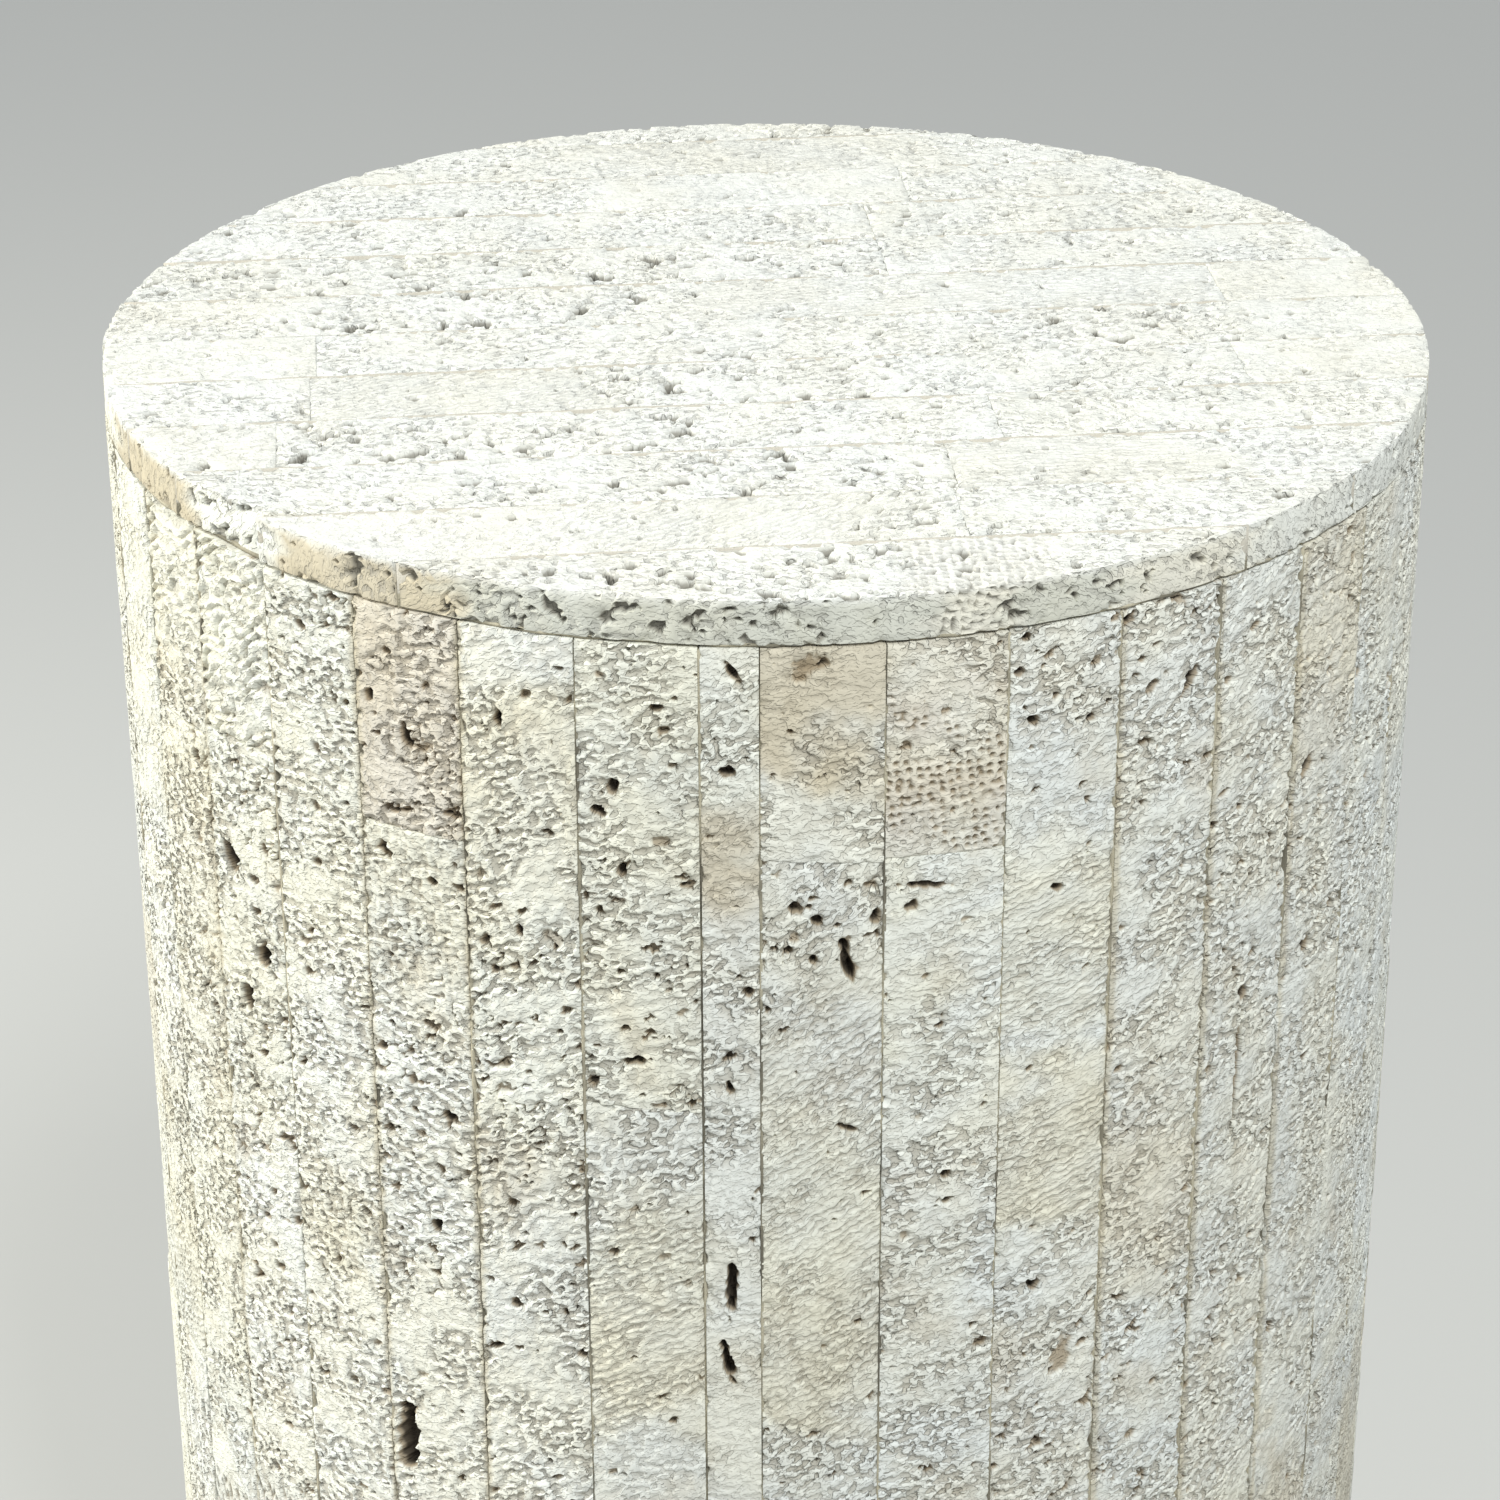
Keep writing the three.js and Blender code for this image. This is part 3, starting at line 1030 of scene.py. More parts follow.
@dataclass(frozen=True)
class Weathering:
    """The fine weathering that every stone shares: pockets, ridges and grain."""

    name: str = "coral weathering"
    ridge_pitch: float = 2.4
    ridge_wander: float = 6.0
    grain_sizes: Pair = (2.0, 1.1)
    grain_levels: Pair = (0.48, 0.62)
    least_grain: float = 0.35
    grain_height: float = 0.35
    pocket_height: float = 0.8
    ridge_height: float = 0.3
    # How strongly ridge valleys and cups count in the Pores mask, which the stone material darkens with
    # dirt and painted shade.
    ridge_shade: float = 0.6
    cup_shade: float = 1.5

    def group(self) -> bpy.types.NodeTree:
        """Builds the shader node group.

        Returns:
            The group, whose height is in millimetres.
        """
        tree = bpy.data.node_groups.new(self.name, "ShaderNodeTree")
        sketch = NodeSketch(tree)
        face = tree.interface
        face.new_socket("Place", in_out="INPUT", socket_type="NodeSocketVector")
        for label in ("Pore Cover", "Crumbly", "Ridged", "Cupped"):
            face.new_socket(label, in_out="INPUT", socket_type="NodeSocketFloat")
        for label in ("Pores", "Grain", "Height"):
            face.new_socket(label, in_out="OUTPUT", socket_type="NodeSocketFloat")
        given = sketch.add("NodeGroupInput").outputs
        place = given["Place"]

        crumbs = sketch.crumbs(place, given["Pore Cover"], given["Crumbly"])
        flecks = sketch.noise(sketch.stretch(place, self.grain_sizes), 1.0)
        amount = sketch.total(
            self.least_grain, sketch.product(given["Crumbly"], 1.0 - self.least_grain)
        )
        grain = sketch.product(sketch.step(flecks, *self.grain_levels), amount)
        valleys = sketch.product(
            sketch.valleys(place, self.ridge_pitch, self.ridge_wander), given["Ridged"]
        )
        height = sketch.total(
            sketch.product(grain, -self.grain_height),
            sketch.product(crumbs, -self.pocket_height),
            sketch.product(valleys, -self.ridge_height),
        )

        out = sketch.add("NodeGroupOutput").inputs
        # Pores and Grain mark the recesses that the stone material darkens with dirt and painted shade.
        results = {
            "Pores": sketch.total(
                crumbs,
                sketch.product(valleys, self.ridge_shade),
                sketch.product(given["Cupped"], self.cup_shade),
            ),
            "Grain": grain,
            "Height": height,
        }
        for label, socket in results.items():
            sketch.feed(socket, out[label])
        return tree


@dataclass(frozen=True)
class MortarFinish:
    """Sandy beige mortar, darker where dirt has settled in it."""

    name: str = "mortar"
    sand: Colour = (0.42, 0.385, 0.285)
    grime: Colour = (0.12, 0.11, 0.082)
    pale: Colour = (0.50, 0.47, 0.40)
    pale_drop: float = 10.0
    roughness: float = 0.95
    patch_scale: float = 28.0
    grime_levels: Pair = (0.42, 0.66)
    grit_scale: float = 1400.0
    grit_height: float = 0.3

    def material(self) -> bpy.types.Material:
        """Builds the material."""
        material = bpy.data.materials.new(self.name)
        material.use_nodes = True
        sketch = NodeSketch(material.node_tree)
        place = sketch.add("ShaderNodeTexCoord").outputs["Object"]
        broad = sketch.add("ShaderNodeTexNoise")
        sketch.feed(place, broad.inputs["Vector"])
        broad.inputs["Scale"].default_value = self.patch_scale
        grit = sketch.add("ShaderNodeTexNoise")
        sketch.feed(place, grit.inputs["Vector"])
        grit.inputs["Scale"].default_value = self.grit_scale
        colour = sketch.blend(sketch.step(broad.outputs[0], *self.grime_levels), self.sand, self.grime)
        axes = sketch.add("ShaderNodeSeparateXYZ")
        sketch.feed(place, axes.inputs[0])
        bed = (frame_height() - self.pale_drop) * MILLIMETRE
        colour = sketch.blend(sketch.step(axes.outputs[2], bed, bed + MILLIMETRE), colour, self.pale)
        bump = sketch.add("ShaderNodeBump")
        bump.inputs["Distance"].default_value = self.grit_height * MILLIMETRE
        sketch.feed(grit.outputs[0], bump.inputs["Height"])
        shader = sketch.add("ShaderNodeBsdfPrincipled")
        shader.inputs["Roughness"].default_value = self.roughness
        sketch.feed(colour, shader.inputs["Base Color"])
        sketch.feed(bump.outputs[0], shader.inputs["Normal"])
        output = sketch.add("ShaderNodeOutputMaterial")
        sketch.feed(shader.outputs[0], output.inputs[0])
        return material


# The kind of attribute that carries one, three or four numbers for each point.
ATTRIBUTE_KINDS = {1: ("FLOAT", "value"), 3: ("FLOAT_VECTOR", "vector"), 4: ("FLOAT_COLOR", "color")}

# What is written on a stone only for carving it.
CARVING_MARKS = ("outward", "edge", "limit", "bored", "granular", "pitted", "folded", "stained")


@dataclass
class StoneGrid:
    """The points and faces of one or more closed stones, with what is written on each point."""

    points: list[np.ndarray] = field(default_factory=list)
    faces: list[np.ndarray] = field(default_factory=list)
    marks: dict[str, list[np.ndarray]] = field(default_factory=dict)
    count: int = 0

    def add(self, points: np.ndarray, faces: Iterable[np.ndarray], marks: dict[str, np.ndarray]) -> None:
        """Adds one closed stone.

        Args:
            points: Its points, in metres.
            faces: Arrays of faces, each array with one count of corners, by index into the points.
            marks: Values for each point, by attribute name.
        """
        self.points.append(points)
        for group in faces:
            self.faces.append(group + self.count)
        for name, values in marks.items():
            self.marks.setdefault(name, []).append(values)
        self.count += len(points)

    def mesh(self, name: str) -> bpy.types.Mesh:
        """Makes a mesh of the stones.

        Args:
            name: The mesh's name.

        Returns:
            The mesh, with the marks as its attributes.
        """
        mesh = bpy.data.meshes.new(name)
        points = np.concatenate(self.points)
        mesh.vertices.add(len(points))
        mesh.vertices.foreach_set("co", points.astype(np.float32).ravel())
        corners = np.concatenate([group.ravel() for group in self.faces])
        sizes = np.concatenate([np.full(len(group), group.shape[1]) for group in self.faces])
        mesh.loops.add(len(corners))
        mesh.loops.foreach_set("vertex_index", corners.astype(np.int32))
        mesh.polygons.add(len(sizes))
        starts = np.concatenate([[0], np.cumsum(sizes)[:-1]])
        mesh.polygons.foreach_set("loop_start", starts.astype(np.int32))
        mesh.polygons.foreach_set("use_smooth", np.ones(len(sizes), bool))
        mesh.update(calc_edges=True)
        for label, parts in self.marks.items():
            values = np.concatenate(parts).astype(np.float32)
            width = 1 if values.ndim == 1 else values.shape[1]
            kind, key = ATTRIBUTE_KINDS[width]
            mesh.attributes.new(label, kind, "POINT").data.foreach_set(key, values.ravel())
        return mesh


@dataclass
class Carver:
    """Turns grids of stone into carved pieces, all at once."""

    tree: bpy.types.NodeTree
    sharp_degrees: float = 48.0
    waiting: list[tuple[bpy.types.Object, str, str]] = field(default_factory=list)

    def start(
        self, piece_name: str, node: str, slot: str, grid: StoneGrid, values: dict[str, object], most: int
    ) -> None:
        """Puts a stone grid in line for carving.

        Args:
            piece_name: The piece's name.
            node: The node that it stands for.
            slot: The record's material slot, which is not used.
            grid: The stones.
            values: The relief's sizes and the material, by the tree's input names.
            most: The most triangles that the carved piece keeps.
        """
        piece = bpy.data.objects.new(piece_name, grid.mesh(piece_name))
        bpy.context.scene.collection.objects.link(piece)
        carve = piece.modifiers.new("carve", "NODES")
        carve.node_group = self.tree
        for item in self.tree.interface.items_tree:
            if item.in_out == "INPUT" and item.name in values:
                carve[item.identifier] = values[item.name]
        triangles = sum(len(group) * (group.shape[1] - 2) for group in grid.faces)
        if triangles > most:
            thin = piece.modifiers.new("thin", "DECIMATE")
            thin.ratio = most / triangles
            thin.use_collapse_triangulate = True
        self.waiting.append((piece, node, slot))

    def finish(self) -> None:
        """Carves every stone in line and hands the pieces to the frame."""
        bpy.context.view_layer.update()
        graph = bpy.context.evaluated_depsgraph_get()
        carved = [
            bpy.data.meshes.new_from_object(
                piece.evaluated_get(graph), preserve_all_data_layers=True, depsgraph=graph
            )
            for piece, _node, _slot in self.waiting
        ]
        total = 0
        for (piece, node, slot), mesh in zip(self.waiting, carved):
            piece.modifiers.clear()
            grid, piece.data = piece.data, mesh
            bpy.data.meshes.remove(grid)
            mesh.name = piece.name
            for label in CARVING_MARKS:
                mesh.attributes.remove(mesh.attributes[label])
            mesh.set_sharp_from_angle(angle=math.radians(self.sharp_degrees))
            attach(piece, "root")
            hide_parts(node)
            faces = sum(len(polygon.vertices) - 2 for polygon in mesh.polygons)
            total += faces
            LOG.info("%s: %d triangles", piece.name, faces)
        LOG.info("all stones: %d triangles", total)


def smooth(values: np.ndarray, low: float, high: float) -> np.ndarray:
    """Goes smoothly from 0 at the low value to 1 at the high one.

    Args:
        values: The values to test.
        low: Where the result is 0.
        high: Where the result is 1.

    Returns:
        The result for each value.
    """
    t = np.clip((values - low) / (high - low), 0.0, 1.0)
    return t * t * (3.0 - 2.0 * t)


def ripple(x: np.ndarray, y: np.ndarray, seed: int, size: float) -> np.ndarray:
    """Soft waves from about -1 to 1, which bend the borders of the patches.

    Args:
        x: Places across the stone, in millimetres.
        y: Places along it.
        seed: Which waves.
        size: Their length, in millimetres.

    Returns:
        The wave's height at each place.
    """
    draw = np.random.default_rng(seed)
    height = np.zeros(np.broadcast(x, y).shape)
    for octave in range(4):
        turn, phase = draw.uniform(0.0, 2.0 * math.pi, 2)
        length = size / (1.0 + 0.8 * octave)
        run = x * math.cos(turn) + y * math.sin(turn)
        height += np.sin(2.0 * math.pi * run / length + phase) / (1.0 + octave)
    return height / 2.0


def node_points(name: str) -> np.ndarray:
    """Reads the points of a node, in millimetres."""
    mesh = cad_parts[name].data
    points = np.empty(len(mesh.vertices) * 3, np.float32)
    mesh.vertices.foreach_get("co", points)
    return points.reshape(-1, 3).astype(float) / MILLIMETRE


def grain_place(across: np.ndarray, along: np.ndarray, lean: float, shift: np.ndarray) -> np.ndarray:
    """Turns places on a stone's face to the lean of its grain.

    Args:
        across: Places across the face, in millimetres.
        along: Places along it.
        lean: How far the grain leans, in degrees.
        shift: The stone's own place in the block it was sawn from.

    Returns:
        The turned and shifted places.
    """
    turn = math.radians(lean)
    return np.stack(
        [
            across * math.cos(turn) + along * math.sin(turn) + shift[0],
            -across * math.sin(turn) + along * math.cos(turn) + shift[1],
            np.zeros(across.shape),
        ],
        -1,
    )


@dataclass(frozen=True)
class PatchWork:
    """The patches of coral in one stone."""

    patches: tuple[Patch, ...]
    seed: int
    border: float = 4.0
    tint_border: float = 13.0
    wander: float = 12.0
    wander_length: float = 34.0
    ragged: float = 2.5
    ragged_length: float = 11.0
    tint_length: float = 55.0
    margin: ClassVar[float] = 3.0

    def marks(self, across: np.ndarray, along: np.ndarray) -> dict[str, np.ndarray]:
        """Works out the grain and the tint at each point of a stone.

        Args:
            across: Places across the stone, in millimetres.
            along: Places along it, on the scale that the patches use.

        Returns:
            The marks by attribute name.
        """
        bent = along + self.wander * ripple(across, along, self.seed, self.wander_length)
        bent = bent + self.ragged * ripple(across, along, self.seed + 1, self.ragged_length)
        share = self.shares(bent, self.border)
        marks: dict[str, np.ndarray] = {}
        for label in ("granular", "ridged", "cupped", "pitted", "folded"):
            values = np.array([getattr(patch.grain.value, label) for patch in self.patches])
            marks[label] = np.tensordot(values, share, 1)
        loose = bent + self.wander * ripple(across, along, self.seed + 2, self.tint_length)
        tints = np.array([(*patch.tint.value, 1.0) for patch in self.patches])
        marks["tint"] = np.tensordot(self.shares(loose, self.tint_border), tints, ((0,), (0,)))
        return marks

    def shares(self, along: np.ndarray, border: float) -> np.ndarray:
        """Works out how much of each patch there is at each place.

        Args:
            along: Places along the stone.
            border: Half the width of the border between two patches.

        Returns:
            The shares, which add up to 1, with the patches along the first axis.
        """
        weights = []
        for index, patch in enumerate(self.patches):
            weight = np.ones_like(along)
            if index > 0:
                weight = weight * smooth(along, patch.start - border, patch.start + border)
            if index + 1 < len(self.patches):
                weight = weight * (1.0 - smooth(along, patch.end - border, patch.end + border))
            weights.append(weight + NEAR_NOTHING)
        share = np.stack(weights)
        return share / share.sum(0)

    @staticmethod
    def within(patches: Sequence[Patch], start: float, end: float, seed: int) -> "PatchWork":
        """Picks the patches that a stone holds, and draws any that are missing.

        Args:
            patches: Known patches along the stave or strip.
            start: Where the stone starts.
            end: Where it ends.
            seed: The seed for patches that aren't known.

        Returns:
            The stone's patchwork.
        """
        margin = PatchWork.margin
        held = [
            patch for patch in patches if patch.end > start + margin and patch.start < end - margin
        ]
        draw = np.random.default_rng(seed)
        reached = held[-1].end if held else start
        while reached < end - margin:
            length = draw.uniform(*USUAL_LENGTHS)
            grain = USUAL_GRAINS[draw.integers(len(USUAL_GRAINS))]
            tint = USUAL_TINTS[draw.integers(len(USUAL_TINTS))]
            held.append(Patch(reached, reached + length, grain, tint))
            reached += length
        return PatchWork(tuple(held), seed)


@dataclass
class StaveRing:
    """The ring of upright staves round the drum."""

    finish: bpy.types.Material
    relief: CoralRelief
    carver: Carver
    face_step: float = 0.75
    low_step: float = 2.0
    hidden_step: float = 1.7
    fine_drop: float = 335.0
    widen: float = 0.25
    proud: float = 0.22
    proud_limits: Pair = (-0.4, 0.3)
    butt_gap: float = 0.12
    front_reach: float = 80.0
    full_half_width: float = 17.5
    budget_slack: float = 1.3
    grain_lean: Pair = (14.0, 12.0)
    block_reach: float = 4000.0
    front_triangles: int = 35500
    hidden_triangles: int = 7800
    deepest: float = 7.0
    edge_limit: float = 1.6
    edge_band: Pair = (0.6, 3.2)
    stained: float = 0.35
    smear: Colour = (0.47, 0.43, 0.325)
    smear_reach: float = 2.2
    smear_share: float = 0.7
    smear_width: Pair = (0.75, 0.35)
    smear_length: float = 70.0
    smear_border: Pair = (0.35, 1.0)
    side_rows: tuple[float, ...] = (0.25, 0.6, 1.0)

    def build(self) -> None:
        """Builds every stave."""
        nodes = [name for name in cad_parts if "stave" in name]
        for name in sorted(nodes):
            number = 0 if name == "closing_stave" else int(name.split("_")[1])
            self.build_stave(name, number)

    def build_stave(self, name: str, number: int) -> None:
        """Builds one stave from the node it stands for.

        Args:
            name: The node's name.
            number: The stave's number round the drum, 0 for the closing stave.
        """
        points = node_points(name)
        middle = math.atan2(points[:, 0].mean(), -points[:, 1].mean())
        radial = points[:, 0] * math.sin(middle) - points[:, 1] * math.cos(middle)
        lateral = points[:, 0] * math.cos(middle) + points[:, 1] * math.sin(middle)
        distance = np.hypot(radial, lateral)
        radius = float(distance.max())
        on_face = distance > radius - 0.5
        half = float(np.abs(np.arctan2(lateral, radial)[on_face]).max()) + self.widen / radius
        top = float(points[:, 2].max())
        back = float(radial.min())
        back_half = float(lateral[radial < back + 0.1].max()) + self.widen

        front = abs(math.degrees(middle)) < self.front_reach
        step = (self.face_step if front else self.hidden_step) * 1.0
        ends = [(0.0, 0.0), *self.butts(points, lateral, top), (top, 0.0)]
        grid = StoneGrid()
        for index in range(len(ends) - 1):
            seed = Seed.STAVES * (number + 1) + index
            drawn = np.random.default_rng(seed + Seed.PROUD).normal(0.0, self.proud)
            stand = float(np.clip(drawn, *self.proud_limits))
            section = self.section(radius + stand, half, back, back_half, step)
            self.add_stone(grid, section, ends[index], ends[index + 1], middle, radius, step, number, seed)
        most = self.front_triangles if front else self.hidden_triangles
        most = int(most * min(1.0, self.budget_slack * half * radius / self.full_half_width))
        values = {**self.relief.inputs(), **self.relief.colours(), "Material": self.finish}
        self.carver.start(f"coral_{name}", name, "side_stone", grid, values, most)

    @staticmethod
    def butts(points: np.ndarray, lateral: np.ndarray, top: float) -> list[Pair]:
        """Finds the butt joints that are scored across a stave.

        Args:
            points: The node's points, in millimetres.
            lateral: Their places across the stave.
            top: The stave's height.

        Returns:
            The height and the slope of each joint, from the foot up.
        """
        margin, apart = 5.0, 20.0
        heights = points[:, 2]
        order = np.argsort(heights)
        order = order[(heights[order] > margin) & (heights[order] < top - margin)]
        if not len(order):
            return []
        breaks = np.nonzero(np.diff(heights[order]) > apart)[0] + 1
        joints = []
        for members in np.split(order, breaks):
            slope, height = np.polyfit(lateral[members], heights[members], 1)
            joints.append((float(height), float(slope)))
        return joints

    def section(
        self, radius: float, half: float, back: float, back_half: float, step: float
    ) -> dict[str, np.ndarray]:
        """Works out a stave's outline in plan, once round from the left of its face.

        Args:
            radius: The face's radius, in millimetres.
            half: Half the angle that the face takes up, in radians.
            back: The distance from the drum's axis to the flat back.
            back_half: Half the width of the back.
            step: The spacing of points across the face.

        Returns:
            Arrays of the radial and lateral places, the place across the face, and the face's weight.
        """
        count = max(6, round(2.0 * half * radius / step))
        angles = np.linspace(-half, half, count + 1)
        radial = list(radius * np.cos(angles))
        lateral = list(radius * np.sin(angles))
        across = list(radius * angles)
        weight = [1.0] * len(angles)
        corner = (radius * math.cos(half), radius * math.sin(half))
        sides = [
            (corner[0] + (back - corner[0]) * share, corner[1] + (back_half - corner[1]) * share)
            for share in self.side_rows
        ]
        for out, aside in [*sides, *((out, -aside) for out, aside in reversed(sides))]:
            radial.append(out)
            lateral.append(aside)
            across.append(math.copysign(radius * half, aside))
            weight.append(0.0)
        return {
            "radial": np.array(radial),
            "lateral": np.array(lateral),
            "across": np.array(across),
            "weight": np.array(weight),
        }

    def rows(self, low: float, high: float, step: float) -> np.ndarray:
        """Spaces the rows of a stone, closer near the rim than near the foot.

        Args:
            low: The height of its lower end, in millimetres.
            high: The height of its upper end.
            step: The closest spacing.

        Returns:
            The rows, from 0 at the lower end to 1 at the upper.
        """
        coarse = max(self.low_step, step)
        border = min(max(frame_height() - self.fine_drop, low), high)
        below = np.array([low])
        above = np.array([high])
        if border > low:
            below = np.linspace(low, border, max(1, round((border - low) / coarse)) + 1)
        if high > border:
            above = np.linspace(border, high, max(1, round((high - border) / step)) + 1)
        heights = np.unique(np.concatenate([below, above]))
        return (heights - low) / (high - low)

    def add_stone(
        self,
        grid: StoneGrid,
        section: dict[str, np.ndarray],
        low: Pair,
        high: Pair,
        middle: float,
        radius: float,
        step: float,
        number: int,
        seed: int,
    ) -> None:
        """Adds one stone of a stave.

        Args:
            grid: The stave's grid.
            section: The stave's outline in plan.
            low: Height and slope of the stone's lower end.
            high: Height and slope of its upper end.
            middle: The bearing of the stave's middle, in radians.
            radius: The drum's radius, in millimetres.
            step: The spacing of rows.
            number: The stave's number.
            seed: The stone's own seed.
        """
        draw = np.random.default_rng(seed)
        across = section["across"]
        bottom = low[0] + low[1] * section["lateral"] + self.butt_gap / 2.0
        top = high[0] + high[1] * section["lateral"] - self.butt_gap / 2.0
        height = bottom + (top - bottom) * self.rows(low[0], high[0], step)[:, None]
        shape = height.shape
        side = np.broadcast_to(across, shape)

        x = section["radial"] * math.sin(middle) + section["lateral"] * math.cos(middle)
        y = -section["radial"] * math.cos(middle) + section["lateral"] * math.sin(middle)
        points = np.stack([np.broadcast_to(x, shape), np.broadcast_to(y, shape), height], -1)

        angle = middle + across / radius
        out = np.stack([np.sin(angle), -np.cos(angle), np.zeros_like(angle)], -1)
        out = out * section["weight"][:, None]
        drop = frame_height() - height
        end_edge = np.minimum(height - bottom, top - height)
        edge = np.minimum(np.abs(across).max() - np.abs(side), end_edge)
        start, end = frame_height() - high[0], frame_height() - low[0]
        work = PatchWork.within(FRONT_PATCHES.get(number, ()), start, end, seed)
        marks = work.marks(side, drop)
        lean = draw.normal(*self.grain_lean)
        shift = draw.uniform(-self.block_reach, self.block_reach, 2)
        marks["place"] = grain_place(side, height, lean, shift)
        marks["outward"] = np.broadcast_to(out, (*shape, 3))
        marks["edge"] = edge
        deeper = (self.deepest - self.edge_limit) * smooth(edge, *self.edge_band)
        marks["limit"] = self.edge_limit + deeper
        marks["bored"] = self.bored(angle, drop, radius)
        marks["stained"] = np.full(shape, self.stained)
        smear = self.smeared(angle, drop, radius)[..., None]
        marks["tint"] = marks["tint"] + (np.array((*self.smear, 1.0)) - marks["tint"]) * smear

        index = np.arange(height.size).reshape(shape)
        right = np.roll(index, -1, 1)
        quads = np.stack([index[:-1], right[:-1], right[1:], index[1:]], -1).reshape(-1, 4)
        caps = (index[0][::-1][None], index[-1][None])
        flat = {label: values.reshape(-1, *values.shape[2:]) for label, values in marks.items()}
        grid.add(points.reshape(-1, 3) * MILLIMETRE, (quads, *caps), flat)

    def smeared(self, angle: np.ndarray, drop: np.ndarray, radius: float) -> np.ndarray:
        """Works out how much mortar has smeared over the stone at each point.

        Args:
            angle: The bearing of each column, in radians.
            drop: The drop of each point below the rim, in millimetres.
            radius: The drum's radius.

        Returns:
            The share of mortar, from 0 to 1.
        """
        share = np.zeros(drop.shape)
        for number, joint in enumerate(SMEARED_JOINTS):
            away = np.abs(angle - math.radians(joint)) * radius
            if away.min() > self.smear_reach:
                continue
            wave = ripple(np.zeros_like(drop), drop, Seed.SMEARS + number, self.smear_length)
            reach = self.smear_reach * (self.smear_width[0] + self.smear_width[1] * wave)
            mortar = self.smear_share * (1.0 - smooth(away / reach, *self.smear_border))
            share = np.maximum(share, mortar)
        return share

    @staticmethod
    def bored(angle: np.ndarray, drop: np.ndarray, radius: float) -> np.ndarray:
        """Works out how deep the listed cavities go at each point.

        Args:
            angle: The bearing of each column, in radians.
            drop: The drop of each point below the rim, in millimetres.
            radius: The drum's radius.

        Returns:
            The depth at each point, in millimetres.
        """
        depth = np.zeros(drop.shape)
        bearing = np.broadcast_to(angle, drop.shape)
        for number, cavity in enumerate(CAVITIES):
            reach = max(cavity.width, cavity.length)
            side = (bearing - math.radians(cavity.bearing)) * radius
            down = drop - cavity.drop
            near = (np.abs(side) < reach) & (np.abs(down) < reach)
            if not near.any():
                continue
            lean = math.radians(cavity.lean)
            side, down = side[near], down[near]
            wide = (side * math.cos(lean) + down * math.sin(lean)) / (cavity.width / 2.0)
            long = (-side * math.sin(lean) + down * math.cos(lean)) / (cavity.length / 2.0)
            slow, quick = CAVITY_WAVES
            wobble = ripple(side, down, Seed.CAVITIES + number, slow)
            wobble = wobble + ripple(side, down, Seed.CAVITY_EDGES + number, quick)
            reached = np.hypot(wide, long) + CAVITY_WOBBLE * wobble
            bowl = cavity.depth * (1.0 - smooth(reached, *CAVITY_WALL))
            depth[near] = np.maximum(depth[near], bowl)
        return depth


def frame_height() -> float:
    """The drum's height, in millimetres."""
    return float(CAD_BOX[1][2]) / MILLIMETRE


@dataclass(frozen=True)
class Break:
    """The broken end of a top strip, by bearing in degrees and depth in millimetres."""

    strip: int = 3
    start: float = -54.5
    end: float = -41.8
    shallow: float = 0.8
    deep: float = 5.5
    foot_share: float = 0.5
    roughness: float = 0.9
    reach: float = 16.0
    step_degrees: float = 1.5
    degree_length: float = 3.5
    wave_length: float = 9.0
    thickness: float = 13.0

    def pull(self, x: np.ndarray, y: np.ndarray, rise: np.ndarray, radius: float) -> np.ndarray:
        """Works out how far each place near the rim is pulled in.

        Args:
            x: Places along the drum's X axis, in millimetres.
            y: Places along its Y axis.
            rise: The height within the strip, from 0 to 1.
            radius: The drum's radius.

        Returns:
            The distance in at each place.
        """
        bearing = np.degrees(np.arctan2(x, -y))
        along = np.clip((bearing - self.start) / (self.end - self.start), 0.0, 1.0)
        inside = smooth(bearing, self.start, self.start + self.step_degrees)
        depth = self.shallow + (self.deep - self.shallow) * along
        run, up = bearing * self.degree_length, rise * self.thickness
        depth = depth + self.roughness * ripple(run, up, Seed.BREAK, self.wave_length)
        depth = np.maximum(depth, 0.0) * inside * (self.foot_share + (1.0 - self.foot_share) * rise)
        return depth * (1.0 - smooth(radius - np.hypot(x, y), 0.0, self.reach))


